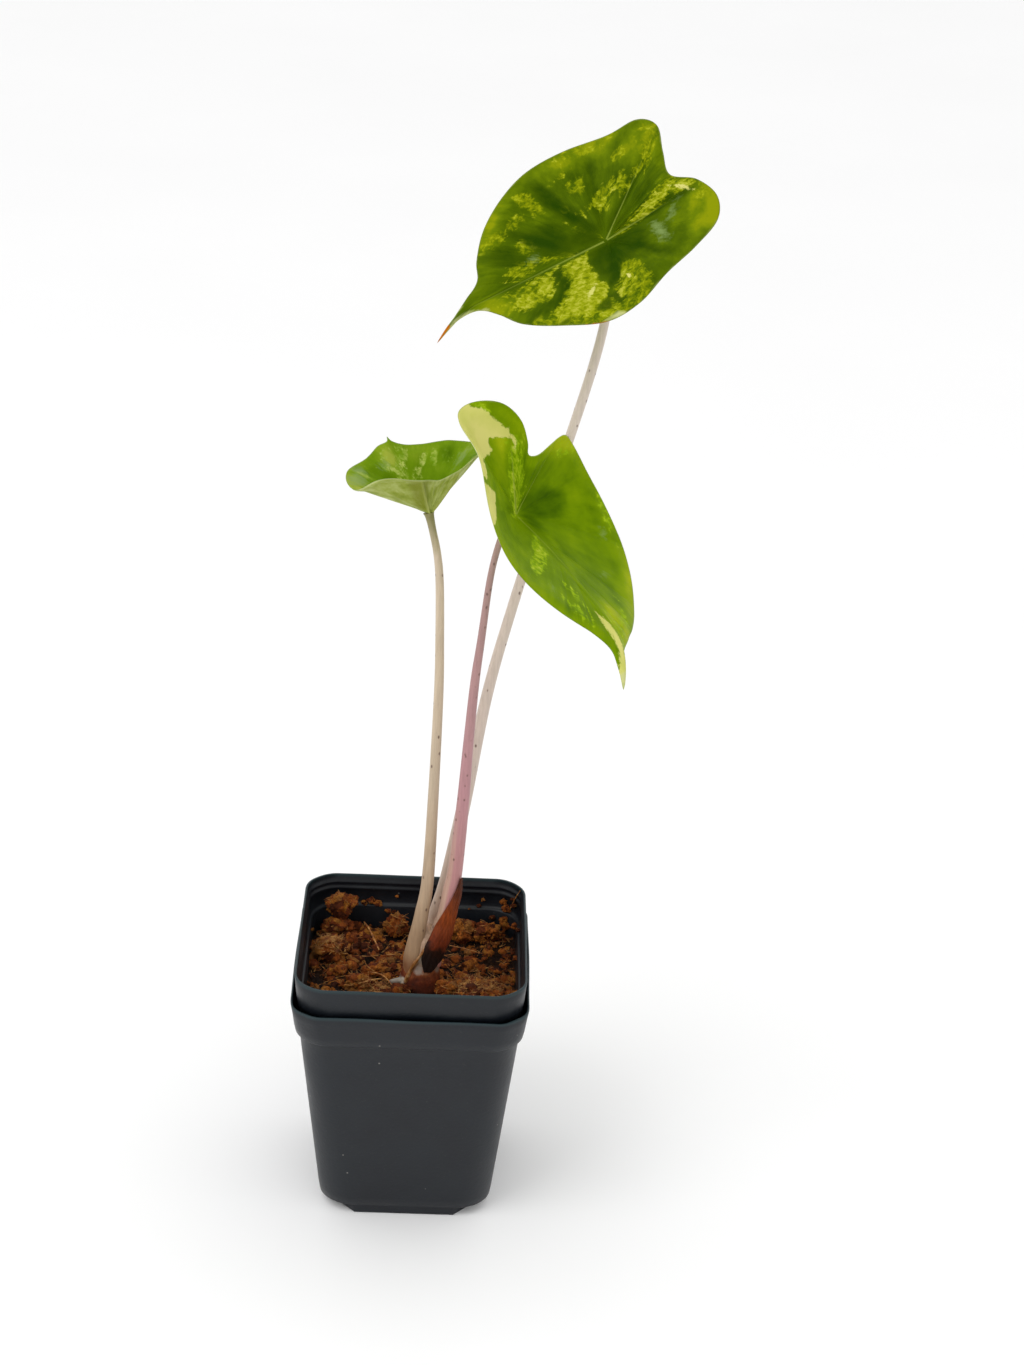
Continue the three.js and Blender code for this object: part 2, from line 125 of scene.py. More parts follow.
# Leaf blades. Outlines and markings are laid flat, in mm from the joint with the stalk, x towards
# the tip and y to the leaf's left. Lift is the angle by which a ray from the joint rises out of
# the flat, at the joint and at the margin, for eight bearings from the tip round the left side.
# The tail starts at its first value and then sways aside and drops by the other two. Costae are
# the bearings of the two ribs into the hind lobes. Looks are a name, the greens and the marbling
# from deep to light, how dark the painted shade in the valleys of the side veins is, and how strong
# the streaks. A marking is an ellipse (x, y, half length, half width, turn in degrees) or a list of
# corner points.
BLADE_THICKNESS = 0.55
# The second kind in the shade layer is painted sheen: light reflected off the waxy leaf, drawn into its
# colour
MARKING_LAYERS = {
    "paint": ("lime", "yellow", "cream"),
    "shade": ("dark", "painted_sheen", "brown"),
    "tone": ("light", "olive", "pale"),
}
# Side veins: how far they lean forward, bend forward and spread with the distance out
LEAN = 0.22
CURVE = 0.003
SPREAD = 0.06
BLADES = {
    "blade_top": {
        "joint": (57.9, 20, 372.6), "normal": (-0.29, -0.64, 0.71), "heading": (-0.8, -0.25, -0.55),
        "tail": (51, 7.2, 0), "costae": (164, -154), "vein_spacing": 10.5, "quilt": 0.75,
            "grid": (360, 64),
        "looks": ("waxed leaf, deep green",
                  ("#254000", "#394f00", "#4b6101", "#657903", "#858f05"),
                  ("#3f5601", "#596d02", "#7b8604", "#959f0c", "#b3b63a"), 0.2, 0.9),
        "lift": [(15, 10), (15, 17), (14, 20), (16, 19), (18, 18), (16, 19), (14, 20), (15, 17)],
        "outline": [(70, -2.3), (66, -1.9), (59.5, -1.5), (51, 1.3), (46.5, 6.9), (42, 16), (32, 26),
            (19, 35.6), (6, 36.4), (-8, 32.2), (-21.5, 31), (-33, 28.4), (-38.4, 20), (-37, 8.5),
            (-31.2, -1), (-34.3, -9.7), (-38.3, -19), (-34, -26.2), (-22.9, -29.2), (-7, -34.8),
            (8, -36.4), (21, -33), (33, -26), (41.5, -17), (45.5, -10), (52, -6), (59.5, -3.6),
            (66, -2.9)],
        "lime": [[(-36, 3), (-37, 9), (-33, 10), (-28, 6.5), (-18, 5.4), (-8, 4), (-4, 2), (-5, 0.8),
            (-18, 0.6), (-31, -0.5)], [(-5, 30), (-4, 17), (1, 14.5), (4, 18), (7, 22), (10, 24), (10, 37),
            (2, 37)], [(8.2, 0.8), (10.4, 6), (10, 10), (10.8, 16), (10, 21), (13, 25), (8, 37), (20, 36),
            (34, 28), (42, 18), (38, 17.8), (33, 18.6), (26, 15), (21, 9), (20, 3), (22.5, 0.8)],
            [(22.5, 0.8), (24, 8), (29, 13), (37, 12.5), (43, 9), (47, 3), (40, 1.2), (30, 0.6)],
            (-15.5, -12, 3.8, 3, 0), (-6.8, -11.5, 2.8, 2.8, 0), (-24.5, -12, 2.8, 1.6, -10),
            (-21.5, -21, 2.8, 2.2, 0), (-34, -19, 4.5, 5, 0), (-3, -22, 3.4, 3.2, 0),
            (15, -26, 3.5, 5, 20), (23, -22, 3.2, 2.2, 0), (25, -12, 3.6, 2.8, -40), (31, -5, 5.5, 3, 0),
            (33.5, -19.5, 5, 2.6, 20), (-12, -31, 9, 2, -15), (-9, -13, 9, 2.2, 4), (-30, -15, 6, 2, 60),
            (6, -8, 4, 1, -50), (18, -3, 5, 1, -12), (6, -17, 1.6, 1.6, 0), (-2, -28, 3, 1, 0),
            (-35, 14, 2, 4, 0)],
        "yellow": [[(9.6, 1.4), (11, 6), (10.2, 10), (10.8, 16), (10, 20), (14, 25), (22, 30), (32, 24),
            (33, 20), (25, 17), (18, 9), (19, 3), (22, 0.8)], (3.5, 23, 2.4, 4, 0), (10, 27.5, 3, 2, 30),
            (17, 33, 4, 1.6, 5), (27, 7, 4, 5, 0), (37, 8, 4, 3, 0), [(-35, 9), (-33, 10), (-28, 5.4),
            (-18, 4), (-10, 2.4), (-18, 1), (-31, 1.4)], (-14, -12, 2.4, 1.6, 0), (-7, -11.6, 1.8, 1.6, 0),
            (24, -12.5, 2, 1, -50)],
        "cream": [(16.5, 20, 2.4, 0.8, 40), (-31.5, 7, 3.2, 0.5, -58), (2.6, 22.5, 0.6, 1.4, 0)],
        "dark": [[(-1, 1), (8.3, 2.2), (10.3, 8), (10.2, 18), (9.8, 23), (5, 20), (1, 15), (-8, 14),
            (-13, 12), (-12, 6), (-4, 3)], [(20, 3), (20.6, 9), (25, 14.6), (33, 18), (40, 17.6),
            (40, 16.5), (34, 14.5), (28, 13.5), (24, 10), (22.4, 4)], [(12, 26), (15, 32.5), (18, 31.5),
            (20, 29), (16, 26.5)], (30, 25.5, 3, 1, 0), (17, -9, 10, 5, -45), (6, -5, 6, 4, 0),
            (7, -22, 2.4, 9, 12), (33, -12, 8, 3, -40)],
        "painted_sheen": [(-24, 12, 5.5, 2.4, 40), (-16.5, 15, 3.2, 6.5, 0), (25, -6, 3, 2, 0)],
        "brown": [[(17, 38), (18, 35.9), (27, 30.4), (36, 22.9), (42, 16.4), (48, 16), (30, 34)],
            [(66, -8), (62.5, -2.6), (66, 4), (75, 4), (75, -8)]],
        "light": [[(-42, 10), (-42, 30), (-34, 32), (-24, 28), (-23, 18), (-30, 12)], (46, 4, 7, 4, -30),
            (-30, -18, 7, 6, 0), (-10, -30, 16, 4, -12), (30, -26, 8, 3, 35)],
        "pale": [[(48, 2.6), (54, -0.9), (60, -2.3), (68, -2.3), (72, 6), (50, 6)], [(50, -8), (55, -4.3),
            (60, -3), (68, -2.7), (72, -8), (52, -10)], (-38, -13, 5, 2, 60), [(10, 38), (22, 34.5),
            (14, 34.6)], (29, -31, 8, 1.2, 35)],
    },
    "blade_middle": {
        "joint": (30.8, -20, 286.6), "normal": (0.677, -0.178, 0.714), "heading": (0.383, -0.743, -0.549),
        "tail": (60, -14, 3), "costae": (155, -156), "vein_spacing": 12, "quilt": 0.35, "grid": (360, 64),
        "looks": ("waxed leaf, fresh green",
                  ("#395800", "#557400", "#6e8b01", "#829a04", "#9baa0e"),
                  ("#5c7c02", "#6f9004", "#86a60a", "#9cb616", "#b4c23c"), 0.07, 0.5),
        "lift": [(21, 5), (15, 13), (21, 24), (37, 42), (45, 59), (25, 15), (20, 29), (11, 12)],
        "outline": [(87, 1), (76.5, 2.2), (68, 4.2), (60.5, 11), (54, 19), (45.5, 27), (34, 34.5),
            (22.4, 39), (10, 40.4), (-4, 37.6), (-17.6, 30), (-26, 23), (-29, 17), (-26.6, 9.8),
            (-21.3, -1.2), (-21.2, -4), (-24.8, -5.6), (-31, -10.2), (-34.6, -17), (-33.8, -24.5),
            (-30, -31.5), (-23.5, -37.5), (-11, -43.6), (3, -45.8), (17, -45), (30, -39), (42, -31.4),
            (53, -20.8), (61, -10.4), (68, -3.6), (76.5, -1.7)],
        "lime": [(55, 12, 9, 2.6, -35), (58, 4, 10, 2.4, -12), (50, 16, 6, 1.4, -20), [(11, -1.4),
            (17, -2.6), (23, -5), (29, -9.6), (34, -15), (37, -22), (32, -21), (27.4, -16), (21.5, -10.6),
            (15, -6.6)], (5.5, -12.5, 9, 1, -72), (52, -12, 7, 2, 30), (-31, -24, 4, 1.6, 90),
            (44, -8, 8, 1.2, 8), [(2, 1), (-3, 0.6), (-10, -1.4), (-18, -4.2), (-22, -6), (-26, -9),
            (-23.5, -13), (-18, -9.8), (-10, -6.8), (-3, -4.6), (2, -3.6)], (35, 36, 10, 1, -25),
            (0, 37, 9, 1.6, 4), (-24, 18, 3, 6, 0)],
        "yellow": [(60, 0, 13, 2.6, -4), (23, -8, 5, 1.2, -42), (31, -15.6, 5, 1, -58), [(0.5, -0.4),
            (-3, -1), (-10, -3.2), (-18, -6.2), (-22, -8), (-23, -10), (-18, -7.4), (-10, -4.6),
            (-3, -2.6), (0.5, -1.4)]],
        "cream": [[(-21, -8), (-24.5, -11), (-23.5, -15), (-22, -19), (-20, -19.5), (-18.5, -17),
            (-16, -19), (-13, -24), (-9, -30), (-4.5, -38), (-1, -42.4), (7, -43), (7, -50), (-22, -46),
            (-36, -33), (-31, -28), (-31.5, -24), (-29, -18), (-27, -13), (-24, -9)], [(6, -31), (11, -33),
            (18, -38), (25, -43), (22, -50), (10, -50), (9, -40)], [(52, -2.6), (57, -3), (62, -2.2),
            (69, -1.3), (84, -1.4), (84, 2.4), (76, 1), (68, 0.8), (61, 0), (55, -1)]],
        "dark": [(-4, 12, 6, 10, 0), (4, 5, 5, 3, 0)],
        "painted_sheen": [(9, 33, 4, 1.6, 0), (42, -18, 4, 1.2, -20), (28, 23, 1.6, 5, 20)],
        "light": [(-26, 18, 5, 10, 0), (56, 8, 12, 7, -30), (34, 32, 16, 4, -35), (-20, -13, 6, 4, 0)],
        "pale": [[(82, -6), (79, 1), (82, 6), (92, 6), (92, -6)], (76, 2.4, 9, 0.9, -6)],
    },
    "blade_left": {
        "joint": (0.6, 0, 278.7), "normal": (-0.26, 0.16, 0.95), "heading": (-0.54, 0.8, -0.28),
        "tail": (30, 0, 0), "costae": (150, -150), "vein_spacing": 8, "quilt": 0.4, "grid": (260, 44),
        "looks": ("waxed leaf, light green",
                  ("#446300", "#577804", "#6a8a0c", "#819a1e", "#9eab3c"),
                  ("#5c8010", "#6f921c", "#88a232", "#9cb044", "#b4c062"), 0.08, 0.7),
        "lift": [(48, 54), (38, 44), (29, 35), (35, 41), (41, 47), (35, 41), (29, 35), (38, 44)],
        "outline": [(33.4, -4.5), (31.6, -2.6), (30.8, 4.5), (26.8, 13), (23, 21), (17.9, 26.1), (9, 29.5),
            (-7.5, 31.5), (-16, 30.5), (-20, 25.5), (-20.5, 17), (-20, 8), (-18.1, 0.4), (-18.5, -6),
            (-18.6, -12), (-20, -17.5), (-18, -23), (-8, -29), (4, -31.7), (13.6, -28.9), (18.9, -24.6),
            (24, -17.5), (27.5, -11), (31, -5.6)],
        "lime": [(14.5, -7, 4.2, 2, -63), (17.4, -12.6, 3.8, 1.7, -60), (14.6, -17, 3.6, 1.6, -50),
            (23.4, -4.8, 3.6, 1.8, 80), (20, 0, 8, 2, 5), (24, 3.4, 4, 2.8, 30),
            (9.5, -21.5, 3.4, 1.6, -40), (26.5, -7, 3, 1.8, 60), (17.5, 18.5, 2.4, 2.4, 0),
            (18, 2.6, 5, 2.2, 40), (22.5, -2.6, 3.4, 1.8, 0), (21, 8, 4, 1.8, 55), (13.5, 3, 4, 1.6, 20)],
        "yellow": [(14.5, -7, 3, 1.4, -63), (17.4, -12.6, 2.6, 1, -60), (18, 2.6, 4, 1.8, 40),
            (22.5, -2.6, 2.4, 1.2, 0)],
        "dark": [(12, -22, 3, 4, 0)],
        "painted_sheen": [(13, 24, 7, 5, -40), (20, 20, 4, 4, 0), (4, -25, 3, 7, 0), (22, 7, 3, 4, 0)],
        "light": [(24, 2, 7, 4, 0), (4, 26, 14, 5, 0)],
        "olive": [[(-21, 7), (-21, 19), (0, 6), (1, 0)]],
    },
}

# Dry sheath: height, centre x, centre y, inner radius, first and last bearing in degrees
SHEATH_THICKNESS = 0.45
SHEATH = [
    (98.2, 4.2, -6.5, 7.4, -88, -64), (101.5, 4.5, -6.3, 7.3, -97, -34), (104, 4.9, -6.1, 7.25, -102, -10),
    (109, 6.4, -5.7, 7.4, -104, 17), (113, 8.8, -6.6, 5.6, -114, 30), (117, 10.8, -7.2, 4.1, -128, 36),
    (122, 12.1, -7.7, 3.75, -114, 34), (128, 13.1, -8.15, 3.65, -86, 20),
    (134, 13.9, -8.6, 3.55, -58, -12), (138, 14.5, -8.95, 3.5, -50, -34),
]

# Coir: its bed, the larger lumps as x, y, z, half width and half height, and what lies loose
SOIL_LEVEL = 88
SOIL_GRID = 290
SOIL_HALF = 40
SOIL_FLOOR_HALF = 31.2
SINK = 0.5
COIR_LUMPS = [
    (-29.2, 33, 98.4, 5.2, 4.4), (-30, 29.5, 90.4, 5.7, 4.3), (-7, 32.5, 90.6, 4.4, 4.6),
    (-32.3, 12.5, 90.6, 6.2, 5.4), (18.6, 30, 90, 4.9, 4.4), (28, 29, 90, 4.9, 4.2),
    (24, -12, 88, 10.5, 4.8), (-20, -8, 88.4, 5, 4), (-11, 3, 88, 4.5, 3.5), (-24, 20, 89.4, 4, 3),
    (-16.5, 0.5, 88.4, 3.4, 2.8), (-3.4, -14.6, 90.6, 3, 2.4), (12.4, -13.4, 90.4, 3.4, 2.6),
]
CRUMB_COUNT = 700
FIBRE_COUNT = 1300
COIR_SEED = 7
CRUMB_SEED = 5
FIBRE_SEED = 11
SCATTER = 39
# Where fibres gather: x, y and spread
FIBROUS_PLACES = [(24, -12, 5), (24, -12, 5), (-32, 12, 3.2), (-12, -10, 3)]
# Crumbs left on the wall and on the ledge of the inner pot: x, y, z and size
WALL_CRUMBS = [
    (-20, 40.4, 95.4, 1.3), (-14.9, 40.2, 95.3, 1.5), (-17.3, 40.5, 96.3, 1.6), (-7.4, 41, 98.2, 0.7),
    (-10.8, 39.4, 92.5, 1.1), (-8.4, 39.5, 92.1, 0.8), (26.6, 40.9, 98.1, 0.8), (25.1, 40.6, 95.5, 0.9),
    (34.6, 39.6, 98.3, 1.4), (36, 38.2, 96, 1.8), (38, 36.8, 101.2, 0.8), (35, 37, 91.7, 1.9),
    (38.7, 36.2, 98.6, 1.1), (21.2, 39.6, 94.5, 0.5), (40.3, 23.6, 95.3, 0.9), (30.4, 39.2, 91.1, 1.2),
    (39.4, 30, 93, 1.6), (36.2, 36.8, 89.5, 2.4), (-39.6, 22, 93.4, 0.7), (39.6, 8, 92, 1.2),
]
# Straws: x, y, z and radius along each
STRAWS = [
    [(-20, 35, 89.6, 0.3), (-17.4, 25, 92.2, 0.36), (-13.2, 11, 92, 0.26)],
    [(37, 37.6, 95.4, 0.16), (39, 36.4, 101.6, 0.2), (40.8, 34.8, 106.4, 0.12)],
    [(-16, -3, 90.6, 0.2), (-11, -8, 92.4, 0.22), (-7, -13, 91, 0.16)],
    [(-20, -12, 91, 0.16), (-13, -11, 92.6, 0.2), (-8, -9, 90.6, 0.14)],
    [(14, 20, 89.4, 0.16), (20, 16, 90.6, 0.2), (27, 15, 89.2, 0.14)],
]

# Helpers

def colour(hex_code):
    """An sRGB hex colour as linear red, green, blue and alpha."""
    values = [int(hex_code[i:i + 2], 16) / 255 for i in (1, 3, 5)]
    return (*[v / 12.92 if v <= 0.04045 else ((v + 0.055) / 1.055) ** 2.4 for v in values], 1)


def add(tree, kind, *inputs, out=None, stops=(), **settings):
    """One node with its settings and links; the kind may end with an operation. Inputs come in the
    order in which the node shows them, and None leaves one alone. A socket is linked, and a value
    or a hex colour is set."""
    kind, _, operation = kind.partition(" ")
    made = tree.nodes.new("ShaderNode" + kind)
    if operation:
        made.operation = operation
    for key, value in settings.items():
        setattr(made, key, value)
    for socket, value in zip([socket for socket in made.inputs if socket.enabled], inputs):
        if isinstance(value, bpy.types.NodeSocket):
            tree.links.new(value, socket)
        elif value is not None:
            socket.default_value = colour(value) if isinstance(value, str) else value
    for count, (place, shade) in enumerate(stops):
        if count > 1:
            made.color_ramp.elements.new(place)
        made.color_ramp.elements[count].position = place
        made.color_ramp.elements[count].color = colour(shade)
    return made.outputs[out] if out else next(socket for socket in made.outputs if socket.enabled)


def closed(shape):
    """The shape with its doubles merged, its open ends filled and its faces turned outwards."""
    bmesh.ops.remove_doubles(shape, verts=shape.verts, dist=1e-4)
    bmesh.ops.dissolve_degenerate(shape, edges=shape.edges, dist=1e-5)
    ends = [edge for edge in shape.edges if edge.is_boundary]
    bmesh.ops.holes_fill(shape, edges=ends, sides=0)
    bmesh.ops.recalc_face_normals(shape, faces=shape.faces)
    if shape.calc_volume(signed=True) < 0:
        bmesh.ops.reverse_faces(shape, faces=shape.faces)
    return shape


def sheet(columns, rows, place):
    """A grid laid out by place(u, v), with u and v from 0 to 1, its seams and poles closed.
    place gives the points, and may give vectors to keep at each point under a name."""
    shape = bmesh.new()
    bmesh.ops.create_grid(shape, x_segments=columns, y_segments=rows, size=0.5)
    flat = np.array([vert.co for vert in shape.verts]).reshape(rows + 1, columns + 1, 3) + 0.5
    points, vectors = place(flat[..., 0], flat[..., 1])
    layers = {name: shape.verts.layers.float_vector.new(name) for name in vectors}
    for index, vert in enumerate(shape.verts):
        row, column = divmod(index, columns + 1)
        vert.co = points[row, column]
        for name, layer in layers.items():
            vert[layer] = vectors[name][row, column]
    return closed(shape)


def mesh_of(name, shape, materials=()):
    """A shape turned into a mesh."""
    mesh = bpy.data.meshes.new(name)
    shape.to_mesh(mesh)
    shape.free()
    for material in materials:
        mesh.materials.append(material)
    return mesh


def set_in_scene(name, data):
    """A new object in the scene."""
    made = bpy.data.objects.new(name, data)
    bpy.context.scene.collection.objects.link(made)
    return made


def make_piece(name, shape, materials, slot, nodes=()):
    """The finished piece of a shape in millimetres. It rides on the one body there is."""
    bmesh.ops.scale(shape, vec=(MM, MM, MM), verts=shape.verts)
    for face in shape.faces:
        face.smooth = True
    piece = set_in_scene(name, mesh_of(name, shape, materials))
    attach(piece, "root")
    if nodes:
        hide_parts(*nodes)
    return piece


def between(points, f):
    """The smooth value between the middle two of four points."""
    p0, p1, p2, p3 = points
    return 0.5 * (2 * p1 + (p2 - p0) * f + (2 * p0 - 5 * p1 + 4 * p2 - p3) * f ** 2
                  + (3 * p1 - p0 - 3 * p2 + p3) * f ** 3)


def along_route(route, share):
    """Smooth values along a route of points, at shares of its length from 0 to 1."""
    values = np.array(route, float)
    values = np.vstack([2 * values[0] - values[1], values, 2 * values[-1] - values[-2]])
    at = np.clip(share, 0, 1) * (len(route) - 1)
    i = np.minimum(np.floor(at).astype(int), len(route) - 2)
    return between((values[i + k] for k in range(4)), (at - i)[..., None])


def around(values, turn):
    """Smooth values round a closed run that is evenly spaced over one turn."""
    values = np.array(values, float)
    at = (turn % 1) * len(values)
    i = np.floor(at).astype(int)
    return between((values[(i + k) % len(values)] for k in (-1, 0, 1, 2)), at - i)


def smooth(low, high, value):
    """0 below low, 1 above high, and a soft run between them."""
    t = np.clip((value - low) / (high - low), 0, 1)
    return t * t * (3 - 2 * t)


# Camera and stage

def place_camera():
    camera = set_in_scene("camera", bpy.data.cameras.new("camera"))
    axes = zip(CAMERA_RIGHT, CAMERA_UP, [-v for v in CAMERA_FORWARD], [v * MM for v in CAMERA_PLACE])
    camera.matrix_world = Matrix([*axes, (0, 0, 0, 1)])
    camera.data.sensor_width = SENSOR
    camera.data.lens = FOCAL_PIXELS / IMAGE_HEIGHT * SENSOR
    camera.data.clip_start = 0.01
    bpy.context.scene.camera = camera


def lay_stage():
    # Matt white studio paper: pale and even, with a very slight tooth
    paper, node = start_material("matt white paper", roughness=0.9)
    tooth = node("TexNoise", node("TexCoord", out="Object"), 3, 4)
    finish(paper, node("ValToRGB", tooth, stops=((0.3, "#fafafa"), (0.7, "#fcfcfc"))))
    floor = bmesh.new()
    bmesh.ops.create_grid(floor, x_segments=8, y_segments=8, size=FLOOR_HALF)
    bmesh.ops.scale(floor, vec=(MM, MM, MM), verts=floor.verts)
    set_in_scene("floor", mesh_of("floor", floor, [paper]))
    world = bpy.data.worlds.new("studio")
    world.use_nodes = True
    sky = world.node_tree.nodes["Background"].inputs
    sky["Color"].default_value = (1, 1, 1, 1)
    sky["Strength"].default_value = SKY_STRENGTH
    bpy.context.scene.world = world
    # A square light that faces the middle of the plant
    light = set_in_scene("key_light", bpy.data.lights.new("key_light", "AREA"))
    light.data.size = LIGHT_SIZE
    light.data.energy = LIGHT_POWER
    light.location = LIGHT_PLACE
    light.rotation_euler = (Vector(LIGHT_AIM) - Vector(LIGHT_PLACE)).to_track_quat("-Z", "Y").to_euler()
    bpy.context.scene.view_settings.view_transform = "Standard"


# Materials. A node's range runs from and to its given values, and SOFT rounds it off at both ends.
SOFT = {"interpolation_type": "SMOOTHSTEP"}


def start_material(name, specular=0.5, roughness=0.5):
    """A new material, and what adds a node to it. What is the same all over is set on the shader."""
    material = bpy.data.materials.new(name)
    material.use_nodes = True
    shader = material.node_tree.nodes["Principled BSDF"]
    shader.inputs["Specular IOR Level"].default_value = specular
    shader.inputs["Roughness"].default_value = roughness
    return material, partial(add, material.node_tree)


def finish(material, skin, coats=(), relief=None, gloss=None):
    """Coats laid over the skin, each where its mask says, and everything linked to the shader.
    Relief is its strength, its depth in metres and its height."""
    tree = material.node_tree
    for mask, coat in coats:
        skin = add(tree, "Mix", mask, skin, coat, data_type="RGBA")
    links = {"Base Color": skin, "Roughness": gloss}
    if relief:
        strength, depth, height = relief
        links["Normal"] = add(tree, "Bump", strength, depth, None, height)
    for name, source in links.items():
        if source is not None:
            tree.links.new(source, tree.nodes["Principled BSDF"].inputs[name])
    return material


def in_mm(node):
    """Places on the piece in millimetres."""
    return node("VectorMath SCALE", node("TexCoord", out="Object"), 1 / MM)


def kept(node, name):
    """A vector kept on the points of a piece, and its three parts."""
    vector = node("Attribute", out="Vector", attribute_name=name)
    return vector, *node("SeparateXYZ", vector).node.outputs


def ragged(node, noise_value, push, reach, low, high, least=0, most=1, **settings):
    """A mask that follows a reach or a height, its edge pushed about by a noise."""
    pushed = node("Math MULTIPLY_ADD", noise_value, push, reach)
    return node("MapRange", pushed, low, high, least, most, **settings)


def toned(node, skin, noise_value, least, most, low=0.3, high=0.7):
    """The skin made darker and lighter by a noise."""
    tone = node("MapRange", noise_value, low, high, least, most)
    return node("Mix", 1.0, skin, tone, data_type="RGBA", blend_type="MULTIPLY")


def leaf_upper(name, greens, patches, valley_shade_depth, streakiness):
    # Living leaf, satin: the wax film hardly shows, so the greens stay deep and clear
    material, node = start_material(name, 0.015)
    flat, tipward, _, edge = kept(node, "flat")
    grain = kept(node, "grain")[0]
    _, rib, vein, from_rib = kept(node, "vein")
    _, lime, yellow, cream = kept(node, "paint")
    _, dark, painted_sheen, brown = kept(node, "shade")
    _, light, _, pale = kept(node, "tone")

    # Patches some 14 mm across, streaks along the side veins of 2 mm, and mottling of 2 mm
    broad = node("TexNoise", flat, 0.07, 3)
    streak = node("TexNoise", grain, 0.45, 6, 0.62)
    mottle = node("TexNoise", flat, 0.42, 8, 0.68, None, 0.5)

    # Green: deeper in the painted dark fields, and darkened by painted shade in the valley of each side
    # vein; lighter in the painted light fields and at the margin
    deep = node("MapRange", dark, -2.5, 2.5, 0, -0.28, **SOFT)
    glow = node("MapRange", light, -4, 4, 0, 0.42, **SOFT)
    margin = node("MapRange", edge, 7, 1, 0, 0.1, **SOFT)
    valley_shade = node("Math ABSOLUTE", vein)
    valley_shade = node("MapRange", valley_shade, 2.6, 0, 0, -valley_shade_depth, **SOFT)
    for source, low, high in ((edge, 2, 9), (from_rib, 3, 14)):
        fade = node("MapRange", source, low, high)
        valley_shade = node("Math MULTIPLY", valley_shade, fade)
    # Streaks are calm near the joint, where the side veins crowd together
    calm = node("MapRange", from_rib, 3, 18, 0.15, streakiness)
    green = node("Math ADD", streak, -0.5)
    green = node("Math MULTIPLY_ADD", green, calm, 0.1)
    green = node("Math MULTIPLY_ADD", broad, 0.8, green)
    for change in (deep, glow, margin, valley_shade):
        green = node("Math ADD", green, change)
    skin = node("ValToRGB", green, stops=zip((0.05, 0.3, 0.55, 0.8, 1), greens))

    # Marbling: lime and yellow in patches with ragged, crisp edges, broken by the dark fields
    lime = node("Math MULTIPLY_ADD", streak, 8, lime)
    lime = ragged(node, mottle, 6, lime, 6.6, 8.2, 0, 0.94, **SOFT)
    spared = ragged(node, mottle, 5, dark, 3.2, 2.2, 0.1)
    lime = node("Math MULTIPLY", lime, spared)
    rich = ragged(node, mottle, 5, yellow, 1.4, 3.6, 0, 0.36, **SOFT)
    tint = node("Math MULTIPLY_ADD", mottle, 2.8, -1.65)
    tint = node("Math MULTIPLY_ADD", streak, 1.2, tint)
    tint = node("Math ADD", tint, rich)
    patch = node("ValToRGB", tint, stops=zip((0, 0.2, 0.45, 0.72, 1), patches))
    skin = node("Mix", lime, skin, patch, data_type="RGBA", blend_type="LIGHTEN")

    # Cream, with a crisp and jagged edge
    cream = ragged(node, mottle, 4, cream, 1.7, 2.3, 0, 0.97, **SOFT)
    cream_tint = node("ValToRGB", broad, stops=((0.35, "#c4c662"), (0.6, "#d5d078")))

    # A thin light line along the ribs, strongest at the joint
    line = node("MapRange", rib, 0.1, -0.2, 0, 0.6, **SOFT)
    near = node("Math ABSOLUTE", tipward)
    near = node("MapRange", near, 34, 2, 0.3)
    line = node("Math MULTIPLY", line, near)

    # Painted sheen: a silvery reflection of the light on the wax, drawn into the colour in broken dabs
    # about a millimetre across
    dab = node("TexNoise", grain, 1.1, 6, 0.7)
    painted_sheen_mask = ragged(node, dab, 10, painted_sheen, 5.2, 8.4, 0, 0.7)

    # A thin pale margin, and dry brown where the margin or the tip has died back
    rim = ragged(node, streak, 1.6, edge, 1.4, 0.7, 0, 0.5, **SOFT)
    bleached = ragged(node, streak, 2.4, pale, 0.8, 2, 0, 0.8)
    dried = ragged(node, mottle, 2, brown, 0.8, 1.4)
    rust = node("ValToRGB", streak, stops=((0.35, "#9c5200"), (0.6, "#c47612")))
    coats = ((cream, cream_tint), (line, "#98a642"), (painted_sheen_mask, "#869c5c"), (rim, "#a9b45e"),
             (bleached, "#c3c688"), (dried, rust))

    # Leaf cells stand about 0.3 mm apart here, coarser than real ones, so that the grain shows
    cells = node("TexNoise", flat, 3.2, 2)
    height = node("Math MULTIPLY_ADD", mottle, 0.8, cells)
    gloss = node("MapRange", mottle, 0, 1, 0.28, 0.5)
    return finish(material, skin, coats, (0.5, 0.00012, height), gloss)


def leaf_lower():
    # Underside of a living leaf: paler and more matt than the top, with proud ribs. Its greens are partly
    # painted light, kept pale for the light that shines through the thin blade
    material, node = start_material("matt leaf, lower side", 0.15, 0.6)
    flat, _, _, edge = kept(node, "flat")
    _, rib, vein, _ = kept(node, "vein")
    _, lime, _, cream = kept(node, "paint")
    olive = kept(node, "tone")[2]
    streak = node("TexNoise", kept(node, "grain")[0], 0.5, 6, 0.6)
    broad = node("TexNoise", flat, 0.12, 2)
    green = node("Math MULTIPLY_ADD", broad, 0.7, streak)
    skin = node("ValToRGB", green, stops=((0.6, "#7a8a20"), (0.8, "#8f9c36"), (1, "#abb562")))
    vein = node("Math ABSOLUTE", vein)
    coats = (
        (ragged(node, streak, 8, lime, 2, 6, 0, 0.5), "#a3b04a"),
        (node("MapRange", olive, -1.5, 2.5, 0, 0.75, **SOFT), "#757d0c"),
        (node("MapRange", cream, -0.4, 0.6, 0, 0.8), "#d3d29a"),
        (node("MapRange", vein, 0.6, 0.15, 0, 0.25), "#adb86a"),
        (node("MapRange", rib, 0.5, -0.2, 0, 0.3, **SOFT), "#b3b35c"),
        (node("MapRange", edge, 1, 0.2, 0, 0.6), "#c3cc92"),
    )
    return finish(material, skin, coats, (0.5, 0.00015, node("TexNoise", flat, 3, 3)))


